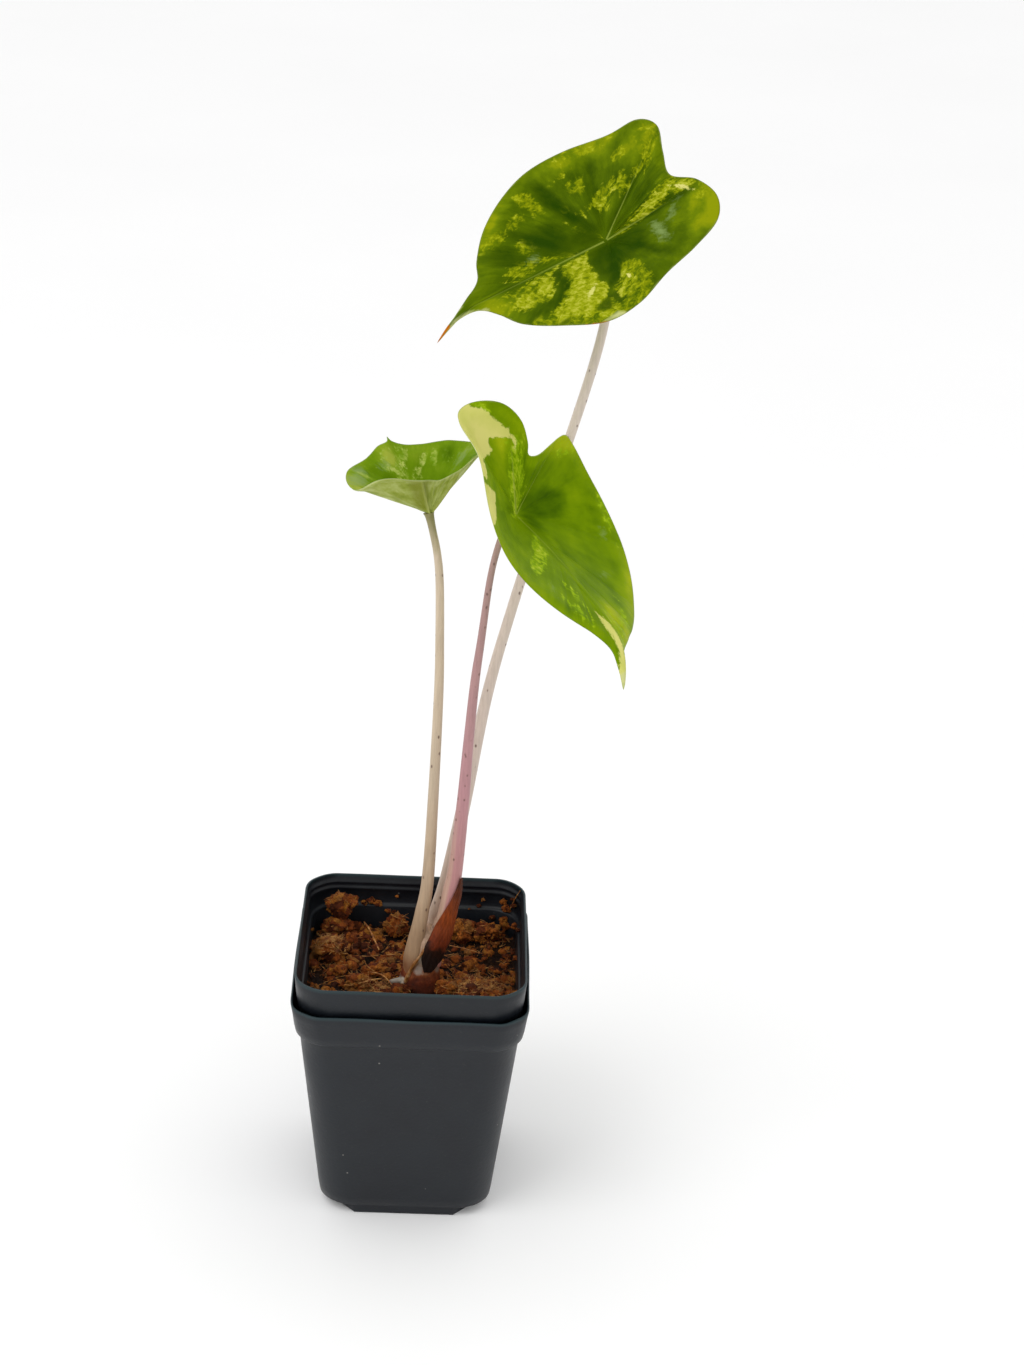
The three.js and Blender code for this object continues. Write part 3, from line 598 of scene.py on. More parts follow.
def stalk_skin(name, low, middle, high, neck, beige_side):
    # Smooth living stalk: faintly streaked along its length, with sparse dark-brown flecks
    material, node = start_material(name, 0.4, 0.45)
    spot = in_mm(node)
    height = node("SeparateXYZ", spot, out="Z")
    long = node("VectorMath MULTIPLY", spot, (1.2, 1.2, 0.08))
    streak = node("TexNoise", long, 1, 4, 0.6)
    patchy = node("TexNoise", spot, 0.12, 3)
    share = node("MapRange", height, 88, 300)
    share = node("Math MULTIPLY_ADD", patchy, 0.08, share)
    skin = node("ValToRGB", share, stops=(
        (0.06, "#8a5636"), (0.11, low), (0.45, middle), (0.86, high), (0.95, neck)))
    # The side that faced away from the light when it was folded in the sheath stays beige
    side = node("MapRange", kept(node, "round")[1], -0.2, -0.62, 0, beige_side, **SOFT)
    near = node("MapRange", height, 175, 120)
    side = node("Math MULTIPLY", side, near)
    skin = node("Mix", side, skin, "#c3a48c", data_type="RGBA")
    skin = toned(node, skin, streak, 0.86, 1.06)
    # Flecks about 0.5 mm across and 4 mm apart, and few of them
    short = node("VectorMath MULTIPLY", spot, (1, 1, 0.6))
    fleck = node("TexVoronoi", short, 0.42)
    fleck = node("MapRange", fleck, 0.22, 0.12)
    few = node("TexNoise", spot, 0.23, 1)
    few = node("MapRange", few, 0.46, 0.54, 0, 0.85)
    fleck = node("Math MULTIPLY", fleck, few)
    return finish(material, skin, [(fleck, "#5c4136")], (0.4, 0.0002, streak))


def scarred_stem():
    # Young corm skin: red-brown and slightly moist, with pale scars and dark seams
    material, node = start_material("scarred stem skin", 0.3, 0.5)
    spot = in_mm(node)
    rough = node("TexNoise", spot, 0.35, 6, 0.65)
    long = node("VectorMath MULTIPLY", spot, (1, 1, 0.3))
    streak = node("TexNoise", long, 0.9, 4)
    share = ragged(node, rough, 12, node("SeparateXYZ", spot, out="Z"), 95, 110)
    skin = node("ValToRGB", share, stops=(
        (0, "#2f1208"), (0.3, "#5c240e"), (0.55, "#8a4a26"), (0.78, "#a87d5c"), (1, "#bb9a80")))
    skin = toned(node, skin, streak, 0.7, 1.15)
    # Scars and stains: centre and radius in mm, and colour
    scars = (((3.4, -12.8, 102.5), 2.2, "#b0a08e"), ((2.2, -13, 98.4), 1.9, "#a8978a"),
             ((-3.6, -11, 92.4), 1.2, "#dccfbc"), ((9.9, -10.2, 97.5), 1.6, "#75655a"),
             ((-6, -10, 91.4), 3, "#918a7e"))
    coats = []
    for centre, radius, shade in scars:
        gap = node("VectorMath DISTANCE", spot, centre)
        mask = ragged(node, rough, -radius * 2, gap, radius * 0.35, -radius * 0.5, 0, 0.85, **SOFT)
        coats.append((mask, shade))
    return finish(material, skin, coats, (0.6, 0.0006, rough))


def sheath_edge():
    # Thin moist sheath tissue: ochre where the light comes through it
    material, node = start_material("ochre sheath edge", roughness=0.4)
    change = node("TexNoise", in_mm(node), 0.5, 4)
    return finish(material, node("ValToRGB", change, stops=(
        (0.35, "#7a4a20"), (0.5, "#966331"), (0.68, "#b48d62"))))


def dry_scale():
    # Dead sheath tissue: papery, fibrous lengthwise, orange-brown and rotted dark at its foot
    material, node = start_material("dry papery sheath", 0.2, 0.62)
    spot = in_mm(node)
    long = node("VectorMath MULTIPLY", spot, (1.4, 1.4, 0.16))
    fibre = node("TexNoise", long, 1, 6, 0.65)
    patchy = node("TexNoise", spot, 0.3, 4)
    across, _, height = node("SeparateXYZ", spot).node.outputs
    climb = node("Math MULTIPLY_ADD", patchy, 10, height)
    climb = node("Math MULTIPLY_ADD", across, 0.7, climb)
    share = node("MapRange", climb, 114, 150)
    skin = node("ValToRGB", share, stops=(
        (0, "#1c0c06"), (0.12, "#2c1207"), (0.2, "#6a290e"), (0.55, "#8a3d12"), (1, "#4c210e")))
    return finish(material, toned(node, skin, fibre, 0.6, 1.25), relief=(0.7, 0.0004, fibre))


def pot_plastic(name, tint, rim_height):
    # Thin thermoformed polypropylene, charcoal and satin: pale at a glance, dusty, and with a painted
    # blue-green glint along the lip
    material, node = start_material(name, 0.36)
    spot = in_mm(node)
    cloud = node("TexNoise", spot, 0.05, 5, 0.6)
    skin = node("ValToRGB", cloud, stops=((0.35, tint), (0.7, "#151a20")))
    # Specks of dust about 0.4 mm across, few and far between
    speck = node("TexVoronoi", spot, 0.12)
    speck = node("MapRange", speck, 0.05, 0.03, 0, 0.5)
    dust = node("TexNoise", spot, 0.9, 6, 0.75)
    dust = node("MapRange", dust, 0.6, 0.78, 0, 0.3)
    # Painted reflection: the lip is drawn in a paler, blue-green grey, for the teal glint that edges the
    # rim
    height = node("SeparateXYZ", spot, out="Z")
    painted_lip_glint = ragged(node, dust, 1.5, height, rim_height - 1.5, rim_height - 0.4, 0, 0.5)
    coats = ((speck, "#8f8c86"), (dust, "#54524d"), (painted_lip_glint, "#233c40"))
    gloss = node("MapRange", cloud, 0.3, 0.7, 0.36, 0.5)
    # Forming leaves a very fine pebble in the sheet; drawn at 1.2 mm so that it shows
    pebble = node("TexNoise", spot, 0.8, 3)
    return finish(material, skin, coats, (0.25, 0.0003, pebble), gloss)


def moist_coir():
    # Moist coir: matt and fibrous, in lumps of rust, orange and ochre, with painted shade that makes the
    # hollows near black
    material, node = start_material("moist coir", 0.2, 0.88)
    spot = in_mm(node)
    fine = node("TexNoise", spot, 0.9, 7, 0.78, None, 1.6)
    # Lumps 3 mm across, each with its own tone
    warped = node("TexNoise", spot, 0.3, 3, out="Color")
    warped = node("VectorMath SCALE", warped, 5)
    warped = node("VectorMath ADD", spot, warped)
    lump = node("SeparateXYZ", node("TexVoronoi", warped, 0.33, out="Color"))
    skin = node("ValToRGB", lump, stops=(
        (0, "#4b210c"), (0.3, "#7a3813"), (0.55, "#a5581b"), (0.8, "#b4722a"), (1, "#8c5c30")))
    skin = toned(node, skin, fine, 0.3, 1.35, 0.34, 0.62)
    # Painted shade: the lower a point lies in the bed's relief, the nearer black it is drawn
    depth = node("Attribute", out="Fac", attribute_name="hollow")
    depth = node("MapRange", depth, -0.1, 0.95, 0, 0.95, **SOFT)
    return finish(material, skin, [(depth, "#150b06")], (1, 0.0012, fine))


def coir_fibre():
    # Loose coir fibre: wiry and dry, straw to rust
    material, node = start_material("dry coir fibre", roughness=0.7)
    change = node("TexNoise", in_mm(node), 0.4, 3)
    skin = node("ValToRGB", change, stops=(
        (0.35, "#6a3816"), (0.48, "#9c5f26"), (0.6, "#c39150"), (0.75, "#7c421a")))
    return finish(material, skin, relief=(0.5, 0.0002, change))


# Leaf blades

def reach_inside(x, y, marking):
    """How far points lie inside a marking, in mm, and below 0 outside it."""
    if isinstance(marking, tuple):
        cx, cy, half_length, half_width, turn = marking
        c, s = math.cos(math.radians(turn)), math.sin(math.radians(turn))
        along = ((x - cx) * c + (y - cy) * s) / half_length
        across = ((y - cy) * c - (x - cx) * s) / half_width
        return (1 - np.hypot(along, across)) * min(half_length, half_width)
    nearest = np.full(x.shape, 1e9)
    inside = np.zeros(x.shape, bool)
    for (ax, ay), (bx, by) in zip(marking, marking[1:] + marking[:1]):
        dx, dy = bx - ax, by - ay
        t = np.clip(((x - ax) * dx + (y - ay) * dy) / (dx * dx + dy * dy), 0, 1)
        nearest = np.minimum(nearest, np.hypot(x - ax - t * dx, y - ay - t * dy))
        inside ^= ((ay > y) != (by > y)) & (x < ax + (y - ay) * dx / (dy or 1e-9))
    return np.where(inside, nearest, -nearest)


def markings(blade, kind, x, y):
    """The reach inside the nearest marking of a kind, from -8 mm where there is none near."""
    reach = np.full(x.shape, -8.0)
    for marking in blade.get(kind, []):
        reach = np.maximum(reach, reach_inside(x, y, marking))
    return reach


def vein_net(blade, x, y):
    """The midrib, costae and side veins at flat points: the distance past the nearest rib's edge,
    the distance from the nearest side vein, its place in the row of side veins, and the distance
    out from the midrib or joint."""
    spacing = blade["vein_spacing"]
    tip = blade["outline"][0]
    bent = y - tip[1] * np.clip(x / tip[0], 0, 1) ** 2
    aside = np.abs(bent)
    radius = np.hypot(x, y)
    # Side veins lean forward more the further out along the midrib they start
    start = (x - LEAN * aside - CURVE * aside ** 2) / (1 + SPREAD * aside)
    row = start / spacing
    # Behind the first pair they fan out from the joint, up to the costae and past them
    steps = np.linspace(0, 80, 161)
    first = LEAN * steps + CURVE * steps ** 2
    first_bearing = np.interp(radius, np.hypot(first, steps), np.arctan2(steps + 1e-9, first + 1e-9))
    bearing = np.abs(np.arctan2(bent, x))
    costa = np.where(y > 0, blade["costae"][0], -blade["costae"][1]) * math.pi / 180
    ahead = bearing < costa
    fan = -2 * (bearing - first_bearing) / (costa - first_bearing)
    behind = -2 - 1.5 * (bearing - costa) / (math.pi - costa)
    row = np.where(start > 0, row, np.where(ahead, fan, behind))
    out = np.where(start > 0, aside, radius)
    sector = np.where(ahead, costa - first_bearing, math.pi - costa)
    side_vein = (row - np.round(row)) * np.where(start > 0, spacing, radius * sector / 2.5)
    # Ribs narrow from the joint outwards
    rib = np.where(x > 0, aside - np.interp(x, [0, tip[0]], [0.42, 0.12]), 9)
    for degrees in blade["costae"]:
        c, s = math.cos(math.radians(degrees)), math.sin(math.radians(degrees))
        run = x * c + y * s
        off = np.abs(y * c - x * s)
        rib = np.minimum(rib, np.where(run > 0, off - np.interp(run, [0, 34], [0.38, 0.1]), 9))
    return rib, side_vein, row, out


def blade_sheet(blade):
    """A closed blade: the upper face out from the joint to the margin, then the lower face back."""
    normal = Vector(blade["normal"]).normalized()
    heading = Vector(blade["heading"])
    heading = (heading - normal * heading.dot(normal)).normalized()
    axes = [np.array(v) for v in (heading, normal.cross(heading), normal)]
    start, sway, drop = blade["tail"]
    outline = blade["outline"]

    def place(u, v):
        fine = np.linspace(0, 1, 24 * len(outline) + 1)
        xs, ys = (around([point[k] for point in outline], fine) for k in (0, 1))
        run = np.concatenate([[0], np.cumsum(np.hypot(np.diff(xs), np.diff(ys)))])
        edge_x, edge_y = (np.interp(u * run[-1], run, line) for line in (xs, ys))
        share = (1 - np.abs(2 * v - 1)) * 0.998
        lower = v > 0.5
        reach = np.hypot(edge_x, edge_y)
        bearing = np.arctan2(edge_y, edge_x)
        inner, outer = (np.radians(around([pair[k] for pair in blade["lift"]], bearing / (2 * math.pi)))
                        for k in (0, 1))
        bend = outer - inner
        bend = np.where(np.abs(bend) < 1e-5, 1e-5, bend)
        lift = inner + bend * share
        out = reach * (np.sin(lift) - np.sin(inner)) / bend
        up = reach * (np.cos(inner) - np.cos(lift)) / bend
        x, y = edge_x * share, edge_y * share
        past = np.clip((x - start) / (outline[0][0] - start), 0, 1) ** 1.5
        points = (np.array(blade["joint"])
                  + (out * np.cos(bearing))[..., None] * axes[0]
                  + (out * np.sin(bearing) + sway * past)[..., None] * axes[1]
                  + (up - drop * past)[..., None] * axes[2])

        # The way up from the sheet at each point, from its neighbours round and outwards
        ring = points[:, :-1]
        across = np.roll(ring, -1, 1) - np.roll(ring, 1, 1)
        across = np.concatenate([across, across[:, :1]], 1)
        outward = np.gradient(points, axis=0)
        outward[lower] *= -1
        facing = np.cross(outward, across)
        length = np.linalg.norm(facing, axis=2, keepdims=True)
        facing = np.where(length > 1e-9, facing / np.maximum(length, 1e-9), axes[2])
        middle = facing.shape[0] // 2
        facing[middle] = facing[middle - 1]
        # By the drawn-out tip the columns run nearly side by side: there the cone's own way up is used
        radial = np.cos(bearing)[..., None] * axes[0] + np.sin(bearing)[..., None] * axes[1]
        upward = np.cos(lift)[..., None] * axes[2] - np.sin(lift)[..., None] * radial
        facing = upward + (facing - upward) * smooth(0.17, 0.3, np.abs(bearing))[..., None]
        facing /= np.linalg.norm(facing, axis=2, keepdims=True)

        # Relief: sunken veins with domed fields between them, and halves folded up along the ribs
        rib, side_vein, row, from_rib = vein_net(blade, x, y)
        from_joint = np.hypot(x, y)
        edge = reach * (1 - share)
        inland = smooth(0, 5, edge) * smooth(0.5, 5, from_joint)
        dome = np.sqrt(np.sin(math.pi * row) ** 2 + 0.02)
        relief = blade["quilt"] * dome * smooth(1, 9, from_rib) * inland
        relief += 0.6 * (1 - np.exp(-np.maximum(rib, 0) / 3)) * inland
        relief -= 0.16 * np.exp(-(side_vein / 0.5) ** 2) * smooth(0.5, 3, from_rib) * inland
        ridge = 0.9 * smooth(0.4, -0.5, rib) * smooth(0, 3, edge)
        ridge = ridge * np.interp(from_joint, [0, 60], [1.2, 0.3])
        depth = np.where(lower, BLADE_THICKNESS + ridge, 0)
        depth = np.where(share > 0.997, BLADE_THICKNESS / 2, depth)
        points = points + facing * (relief - depth)[..., None]
        points[-1] = points[-1].mean(axis=0)

        vectors = {
            "flat": (x, y, edge),
            "vein": (rib, side_vein, from_rib),
            "grain": (row * blade["vein_spacing"], from_rib * 0.3, np.tanh(y / 0.8) * 2),
        }
        for name, kinds in MARKING_LAYERS.items():
            vectors[name] = [markings(blade, kind, x, y) for kind in kinds]
        return points, {name: np.stack(parts, -1) for name, parts in vectors.items()}

    columns, rows = blade["grid"]
    return sheet(columns, rows * 2, place)


def make_blades():
    under = leaf_lower()
    for name, blade in BLADES.items():
        shape = blade_sheet(blade)
        normal = Vector(blade["normal"])
        for face in shape.faces:
            face.material_index = 0 if face.normal.dot(normal) > 0 else 1
        make_piece(name + "_leaf", shape, [leaf_upper(*blade["looks"]), under], "leaf_blade", [name])


# Stalks, stem base and sheath

def stalk_sheet(route, sides, rows):
    """A round stalk along a route, closed at both ends."""
    def place(u, v):
        share = np.clip((v * rows - 1) / (rows - 2), 0, 1)
        middle = along_route(route, share)
        ahead = along_route(route, np.minimum(share + 1e-3, 1))
        behind = along_route(route, np.maximum(share - 1e-3, 0))
        way = ahead[..., :3] - behind[..., :3]
        way /= np.linalg.norm(way, axis=-1, keepdims=True)
        first = np.cross(way, (0, 1, 0))
        first /= np.linalg.norm(first, axis=-1, keepdims=True)
        second = np.cross(way, first)
        turn = u * 2 * math.pi
        radius = middle[..., 3] * np.where((v < 1e-6) | (v > 1 - 1e-6), 0, 1)
        outward = np.cos(turn)[..., None] * first + np.sin(turn)[..., None] * second
        return middle[..., :3] + radius[..., None] * outward, {"round": outward}
    return sheet(sides, rows, place)


def make_stalks():
    for name, route in STALKS.items():
        slot, *looks = STALK_LOOKS[name]
        make_piece(name + "_stalk", stalk_sheet(route, 28, 160), [stalk_skin(*looks)], slot, [name])


def make_stem_base():
    """The swollen base and its broken root, joined into one skin."""
    levels = np.array(STEM_BASE, float)

    def place(u, v):
        z = np.interp(v, np.linspace(0, 1, len(levels)), levels[:, 0])
        cx, cy, rx, ry = (np.interp(z, levels[:, 0], levels[:, k]) for k in range(1, 5))
        turn = u * 2 * math.pi
        fold = 1 + 0.04 * np.sin(3 * turn + 0.05 * z) + 0.02 * np.sin(7 * turn + 0.3 * z)
        spread = np.where((v < 1e-6) | (v > 1 - 1e-6), 0, 1)
        return np.stack([cx + rx * fold * spread * np.cos(turn),
                         cy + ry * fold * spread * np.sin(turn), z], -1), {}

    shape = sheet(72, 72, place)
    root = mesh_of("root", stalk_sheet(BROKEN_ROOT, 16, 12))
    shape.from_mesh(root)
    bpy.data.meshes.remove(root)
    make_piece("stem_base_corm", shape, [scarred_stem()], "stem_skin", ["stem_base"])
    # The rolled edge of the left stalk's own sheath runs down on to the stem base
    edge = stalk_sheet(SHEATH_EDGE, 12, 40)
    make_piece("stem_base_sheath_edge", edge, [sheath_edge()], "stem_skin")


def make_sheath():
    """A papery strip round the right side of the stalks, from an inner face round to an outer one."""
    levels = np.array(SHEATH, float)

    def place(u, v):
        z, cx, cy, radius, first, last = (
            np.interp(v, np.linspace(0, 1, len(levels)), levels[:, k]) for k in range(6))
        share = 1 - np.abs(2 * u - 1)
        bearing = np.radians(first + (last - first) * share)
        wrinkle = 0.18 * np.sin(9 * bearing + 0.25 * z) + 0.1 * np.sin(23 * bearing - 0.4 * z)
        thickness = np.where(u > 0.5, SHEATH_THICKNESS, 0) * smooth(0, 0.05, share) * smooth(1, 0.95, share)
        out = radius + 0.1 + thickness + wrinkle * smooth(0, 0.3, share)
        return np.stack([cx + out * np.cos(bearing), cy + out * np.sin(bearing), z], -1), {}

    make_piece("dry_sheath_scale", sheet(96, 90, place), [dry_scale()], "dry_scale", ["dry_sheath"])


# Pots

def square_ring():
    """Stations round a rounded square: which corner each belongs to, and its bearing there."""
    stations = []
    corners = [(1, 1), (-1, 1), (-1, -1), (1, -1)]
    for quarter in range(4):
        sx, sy = corners[quarter]
        for step in range(15):
            stations.append((sx, sy, (quarter + step / 14) * math.pi / 2, step / 14))
        nx, ny = corners[(quarter + 1) % 4]
        for step in range(1, 16):
            f = step / 16
            stations.append((sx + (nx - sx) * f, sy + (ny - sy) * f, (quarter + 1) * math.pi / 2, 0))
    stations.append(stations[0])
    return np.array(stations)


def pot_levels(band, ridges):
    """A pot's section, from the middle of its underside, up the outside, over the lip and down the
    inside: half width, corner radius, height, and 1 where the corners are cut straight."""
    low, rim = band
    top = SHOULDER_HALF
    slope = (top - BASE_HALF) / (SHOULDER_HEIGHT - FOOT_HEIGHT)

    def body(z):
        return BASE_HALF + slope * (z - FOOT_HEIGHT)

    def flare(z):
        return low + (rim - low) * ((z - SHOULDER_HEIGHT) / (RIM_HEIGHT - SHOULDER_HEIGHT))

    foot = [(FOOT_HALF - 0.1, 0.25), (FOOT_HALF, 0.7), (FOOT_HALF, FOOT_HEIGHT - 0.5),
            (FOOT_HALF + 0.1, FOOT_HEIGHT)]
    side = [(BASE_HALF - 0.6, FOOT_HEIGHT + 0.3), (BASE_HALF, FOOT_HEIGHT + 1)]
    side += [(body(z), z) for z in range(8, SHOULDER_HEIGHT - 2, 6)]
    side += [(top - 0.1, SHOULDER_HEIGHT - 0.8), (top + 0.1, SHOULDER_HEIGHT),
             (low - 0.5, SHOULDER_HEIGHT + 0.3), (low, SHOULDER_HEIGHT + 1)]
    side += [(flare(z), z) for z in range(SHOULDER_HEIGHT + 4, RIM_HEIGHT - 1, 3)]
    side += [(rim, RIM_HEIGHT - 0.35), (rim - 0.12, RIM_HEIGHT - 0.08), (rim - 0.4, RIM_HEIGHT),
             (rim - 0.7, RIM_HEIGHT - 0.1)]
    lining = [(rim - WALL, RIM_HEIGHT - 0.4)]
    for z in ridges:
        half = flare(z) - WALL
        lining += [(half, z + 0.8), (half - 0.35, z + 0.3), (half - 0.35, z - 0.2), (half, z - 0.6)]
    ledge = SHOULDER_HEIGHT + 1.9
    lining += [(low + 0.2 - WALL, ledge + 0.6), (low - WALL, ledge), (low - WALL - 0.4, ledge - 0.25),
               (top - WALL, ledge - 0.4), (top - WALL - 0.2, ledge - 1)]
    lining += [(body(z) - WALL, z) for z in range(SHOULDER_HEIGHT - 6, 5, -8)]
    lining += [(BASE_HALF - WALL, FOOT_HEIGHT + 1)]
    within = FOOT_HALF - WALL
    return np.array([
        (0, 0, 0, 1), (24, 8, 0, 1), (31.8, FOOT_CHAMFER - 0.6, 0, 1),
        *[(half, FOOT_CHAMFER, z, 1) for half, z in foot],
        *[(half, CORNER, z, 0) for half, z in side],
        *[(half, CORNER - WALL, z, 0) for half, z in lining],
        *[(within, FOOT_CHAMFER - WALL / 2, z, 1) for z in (FOOT_HEIGHT + 0.4, WALL + 0.3)],
        (30.8, FOOT_CHAMFER - 1, WALL, 1), (24, 8, WALL, 1), (0, 0, WALL, 1),
    ])


def make_pot(name, band, rise, wave, ridges, tint, node):
    levels = pot_levels(band, ridges)
    stations = square_ring()

    def place(u, v):
        half, corner, z, cut = np.moveaxis(levels[np.rint(v * (len(levels) - 1)).astype(int)], -1, 0)
        sx, sy, bearing, step = np.moveaxis(
            stations[np.rint(u * (len(stations) - 1)).astype(int)], -1, 0)
        # The rim is thin and stands a little in and out of line
        high = smooth(SHOULDER_HEIGHT, RIM_HEIGHT, z)
        half = half - wave * high * (0.5 + 0.5 * np.sin(7 * bearing + 5 * sx - 3 * sy))
        turn = bearing - step * math.pi / 2
        c = np.where(cut > 0, np.cos(turn) * (1 - step) - np.sin(turn) * step, np.cos(bearing))
        s = np.where(cut > 0, np.sin(turn) * (1 - step) + np.cos(turn) * step, np.sin(bearing))
        x = (half - corner) * sx + corner * c
        y = (half - corner) * sy + corner * s
        return np.stack([x, y, z + rise - wave * 0.4 * high * np.sin(4 * bearing + sx)], -1), {}

    plastic = pot_plastic(f"charcoal {node.replace('_', ' ')}", tint, RIM_HEIGHT + rise)
    shape = sheet(len(stations) - 1, len(levels) - 1, place)
    pot = make_piece(name, shape, [plastic], "pot_plastic", [node])
    cutter = bmesh.new()
    for x in (-1, 0, 1):
        for y in (-1, 0, 1):
            if x or y:
                spot = Matrix.Translation((x * DRAIN_OFFSET * MM, y * DRAIN_OFFSET * MM, rise * MM))
                bmesh.ops.create_cone(cutter, cap_ends=True, segments=40, radius1=DRAIN_RADIUS * MM,
                                      radius2=DRAIN_RADIUS * MM, depth=4 * MM, matrix=spot)
    holes = set_in_scene("drain_cutter", mesh_of("drain_cutter", cutter))
    cut = pot.modifiers.new("drain_holes", "BOOLEAN")
    cut.object = holes
    cut.solver = "EXACT"
    bpy.context.view_layer.update()
    finished = bpy.data.meshes.new_from_object(pot.evaluated_get(bpy.context.evaluated_depsgraph_get()))
    pot.modifiers.clear()
    # The cut leaves faces of many sides, which are split here with no slivers among them
    shape = bmesh.new()
    shape.from_mesh(finished)
    bmesh.ops.triangulate(shape, faces=[face for face in shape.faces if len(face.verts) > 4])
    bmesh.ops.dissolve_degenerate(shape, edges=shape.edges, dist=1e-7)
    shape.to_mesh(finished)
    shape.free()
    pot.data = finished
    bpy.data.objects.remove(holes)


# Coir

def soil_height(x, y):
    """The height of the coir's broad surface, as in the CAD model."""
    broad = 1.4 * math.sin(x * 0.11 + 1) * math.cos(y * 0.13) - 1.2 * math.sin(y * 0.06)
    lumps = 0.9 * math.sin(x * 0.42 + 2 * math.sin(y * 0.31)) * math.cos(y * 0.47 + 1)
    bank = 2.5 * math.exp(-(((x + 28) / 14) ** 2) - ((y - 22) / 18) ** 2)
    return SOIL_LEVEL + broad + lumps + bank


def soil_relief(x, y):
    """How far the lumps and crumbs of the bed stand out of its broad surface, in mm."""
    spot = Vector((x, y, 0))
    warped = spot + noise.noise_vector(spot * 0.25) * 2.4
    relief = 0.5 * noise.fractal(spot * 0.9, 0.7, 2.2, 4)
    for size, height in ((6.2, 2.4), (2.5, 1.1)):
        gaps, centres = noise.voronoi(warped / size)
        dome = min(1, (gaps[1] - gaps[0]) / 0.45)
        relief += height * (dome * (0.35 + 0.65 * noise.cell(centres[0] * 9.7)) - 0.45)
    return relief


def lump_top(x, y):
    """The height of the coir at a place, the larger lumps included."""
    top = soil_height(x, y) + soil_relief(x, y) - SINK
    for cx, cy, cz, half, height in COIR_LUMPS:
        off = math.hypot((x - cx) / half, (y - cy) / (half * 0.85))
        if off < 1:
            top = max(top, cz - 0.4 + 0.9 * height * math.sqrt(1 - off * off))
    return top


def fit_in_pot(x, y, half):
    """A point kept inside a rounded square."""
    x = max(-half, min(half, x))
    y = max(-half, min(half, y))
    inner = half - CORNER + WALL
    over = Vector((max(0, abs(x) - inner), max(0, abs(y) - inner)))
    if over.length > CORNER - WALL:
        over *= (CORNER - WALL) / over.length
    if abs(x) > inner:
        x = math.copysign(inner + over.x, x)
    if abs(y) > inner:
        y = math.copysign(inner + over.y, y)
    return x, y


def make_soil_bed(skin):
    shape = bmesh.new()
    bmesh.ops.create_grid(shape, x_segments=SOIL_GRID, y_segments=SOIL_GRID, size=SOIL_HALF)
    hollow = shape.verts.layers.float.new("hollow")
    for vert in shape.verts:
        x, y = fit_in_pot(vert.co.x, vert.co.y, SOIL_HALF)
        relief = soil_relief(x, y)
        vert.co = (x, y, soil_height(x, y) + relief - SINK)
        vert[hollow] = -relief
    bmesh.ops.remove_doubles(shape, verts=shape.verts, dist=1e-3)
    bmesh.ops.dissolve_degenerate(shape, edges=shape.edges, dist=1e-4)
    border = [edge for edge in shape.edges if edge.is_boundary]
    skirt = bmesh.ops.extrude_edge_only(shape, edges=border)["geom"]
    shrink = SOIL_FLOOR_HALF / SOIL_HALF
    for vert in skirt:
        if isinstance(vert, bmesh.types.BMVert):
            vert.co = (vert.co.x * shrink, vert.co.y * shrink, INNER_RISE + WALL + 0.7)
    rim = [item for item in skirt if isinstance(item, bmesh.types.BMEdge)]
    bmesh.ops.edgeloop_fill(shape, edges=rim)
    make_piece("coir_bed", closed(shape), [skin], "coir", ["soil"])


def ragged_ball(shape, detail, centre, size, rough, seed):
    """A lump of coir: a ball pushed in and out by noise, then set in place."""
    made = bmesh.ops.create_icosphere(shape, subdivisions=detail, radius=1)["verts"]
    shift = Vector((seed * 3.7, seed * 1.9, seed * 5.3))
    for vert in made:
        direction = vert.co.normalized()
        push = 1 + rough * noise.fractal(direction * 1.6 + shift, 0.7, 2.2, 4)
        push += 0.5 * rough * noise.noise(direction * 6 + shift)
        vert.co = Vector(centre) + Vector(
            (direction.x * size[0], direction.y * size[1], direction.z * size[2])) * push


def make_chunks(skin):
    rng = random.Random(CRUMB_SEED)
    shape = bmesh.new()
    for index, (x, y, z, half, height) in enumerate(COIR_LUMPS):
        ragged_ball(shape, 5, (x, y, z - 0.4), (half * 0.95, half * 0.82, height * 0.92), 0.42, index)
    make_piece("coir_chunks", shape, [skin], "coir")
    shape = bmesh.new()
    for index in range(CRUMB_COUNT):
        x, y = fit_in_pot(rng.uniform(-SCATTER, SCATTER), rng.uniform(-SCATTER, SCATTER), 38.6)
        size = rng.choice((0.6, 0.8, 1, 1.3, 1.8, 2.4))
        sizes = (size, size * rng.uniform(0.6, 1), size * rng.uniform(0.5, 0.9))
        ragged_ball(shape, 2, (x, y, lump_top(x, y) + 0.1 * size), sizes, 0.6, index)
    for index, (x, y, z, size) in enumerate(WALL_CRUMBS):
        ragged_ball(shape, 3, (x, y, z), (size, size * 0.7, size * 0.8), 0.6, index)
    make_piece("coir_crumbs", shape, [skin], "coir")


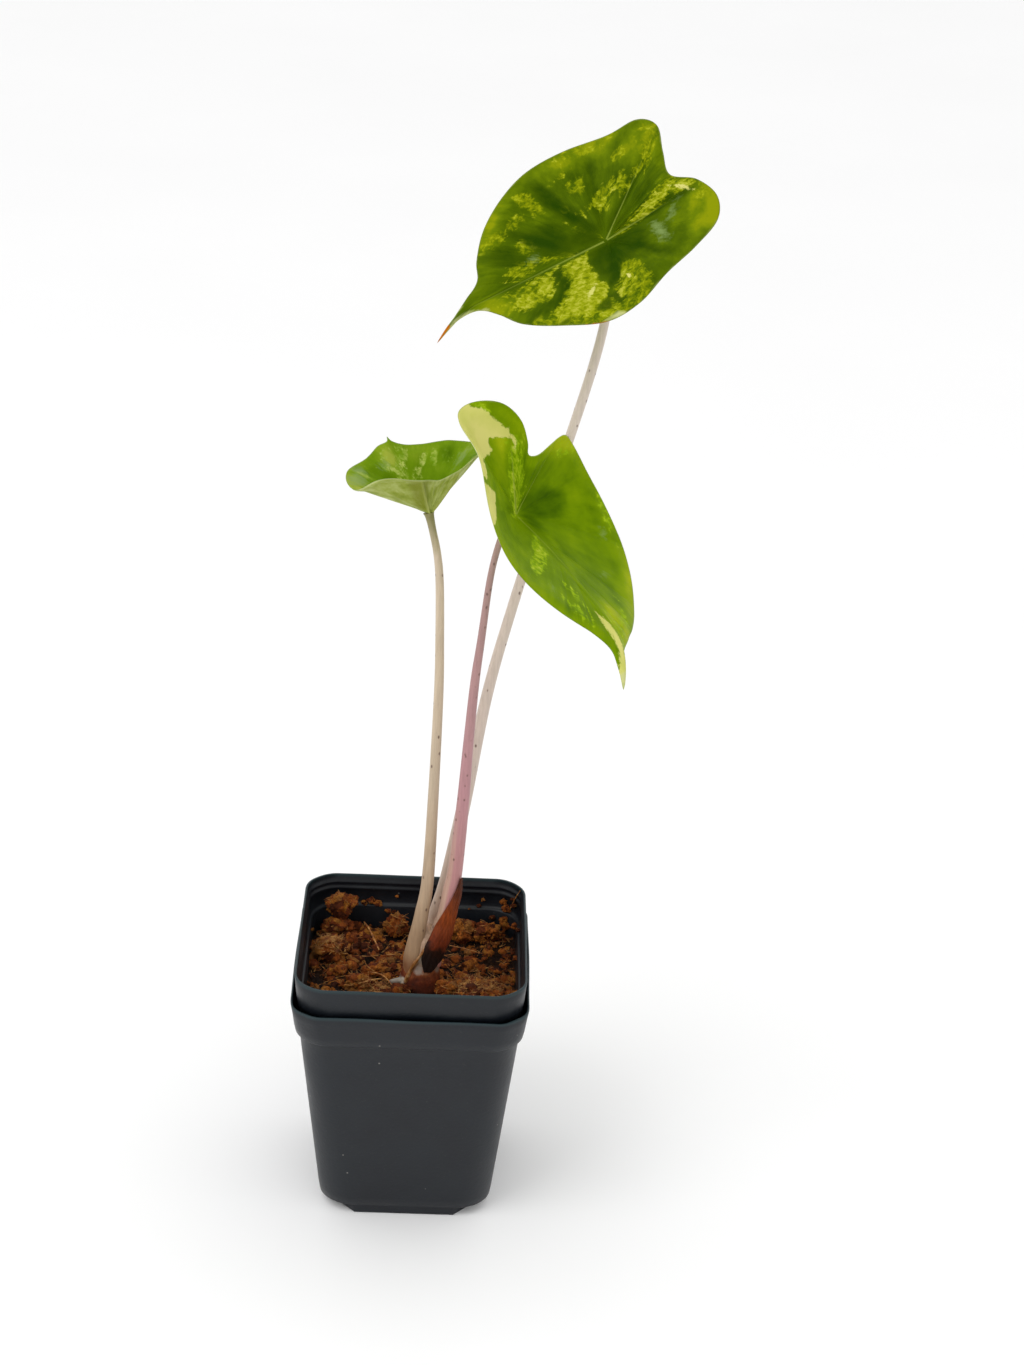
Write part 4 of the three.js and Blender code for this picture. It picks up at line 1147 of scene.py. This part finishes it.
def bent_fibre(shape, start, way, length, bow, thick):
    """One short bent fibre with three sides."""
    side = Vector((-way.y, way.x, bow * 0.3)).normalized()
    across = way.cross(side).normalized()
    before = len(shape.verts)
    made = bmesh.ops.create_cone(
        shape, cap_ends=True, segments=3, radius1=thick, radius2=thick * 0.5, depth=length)["verts"]
    edges = dict.fromkeys(edge for vert in made for edge in vert.link_edges
                          if abs(edge.verts[0].co.z - edge.verts[1].co.z) > length / 2)
    bmesh.ops.subdivide_edges(shape, edges=list(edges), cuts=3)
    shape.verts.ensure_lookup_table()
    for vert in shape.verts[before:]:
        run = vert.co.z / length
        place = (start + way * vert.co.z + side * (bow * (1 - 4 * run * run) + vert.co.x)
                 + across * vert.co.y)
        place.x, place.y = fit_in_pot(place.x, place.y, 39.6)
        vert.co = place


def make_fibres(skin):
    rng = random.Random(FIBRE_SEED)
    shape = bmesh.new()
    for index in range(FIBRE_COUNT):
        # Half of them lie on the two fibrous lumps and beside the root
        if index % 2:
            x, y = rng.uniform(-SCATTER, SCATTER), rng.uniform(-SCATTER, SCATTER)
        else:
            cx, cy, spread = rng.choice(FIBROUS_PLACES)
            x, y = rng.gauss(cx, spread), rng.gauss(cy, spread)
        x, y = fit_in_pot(x, y, 38)
        turn = rng.uniform(0, math.pi)
        way = Vector((math.cos(turn), math.sin(turn), rng.uniform(-0.2, 0.35)))
        start = Vector((x, y, lump_top(x, y) + rng.uniform(0, 0.9)))
        bent_fibre(shape, start, way, rng.uniform(2, 6.5), rng.uniform(-1.2, 1.2), rng.uniform(0.1, 0.2))
    bmesh.ops.recalc_face_normals(shape, faces=shape.faces)
    make_piece("coir_fibres", shape, [skin], "coir")
    for index, straw in enumerate(STRAWS):
        make_piece(f"coir_straw_{index + 1}", stalk_sheet(straw, 8, 24), [skin], "coir")


# Build

place_camera()
lay_stage()
make_blades()
make_stalks()
make_stem_base()
make_sheath()
make_pot("outer_pot_shell", OUTER_BAND, 0, 0.35, [], "#0e1219", "outer_pot")
make_pot("inner_pot_shell", INNER_BAND, INNER_RISE, 0.12, [92.6, 90.1], "#0b0f15", "inner_pot")
coir = moist_coir()
# Blender takes the offsets of its noise vectors from the clock, unless they are seeded
noise.seed_set(COIR_SEED)
make_soil_bed(coir)
make_chunks(coir)
make_fibres(coir_fibre())
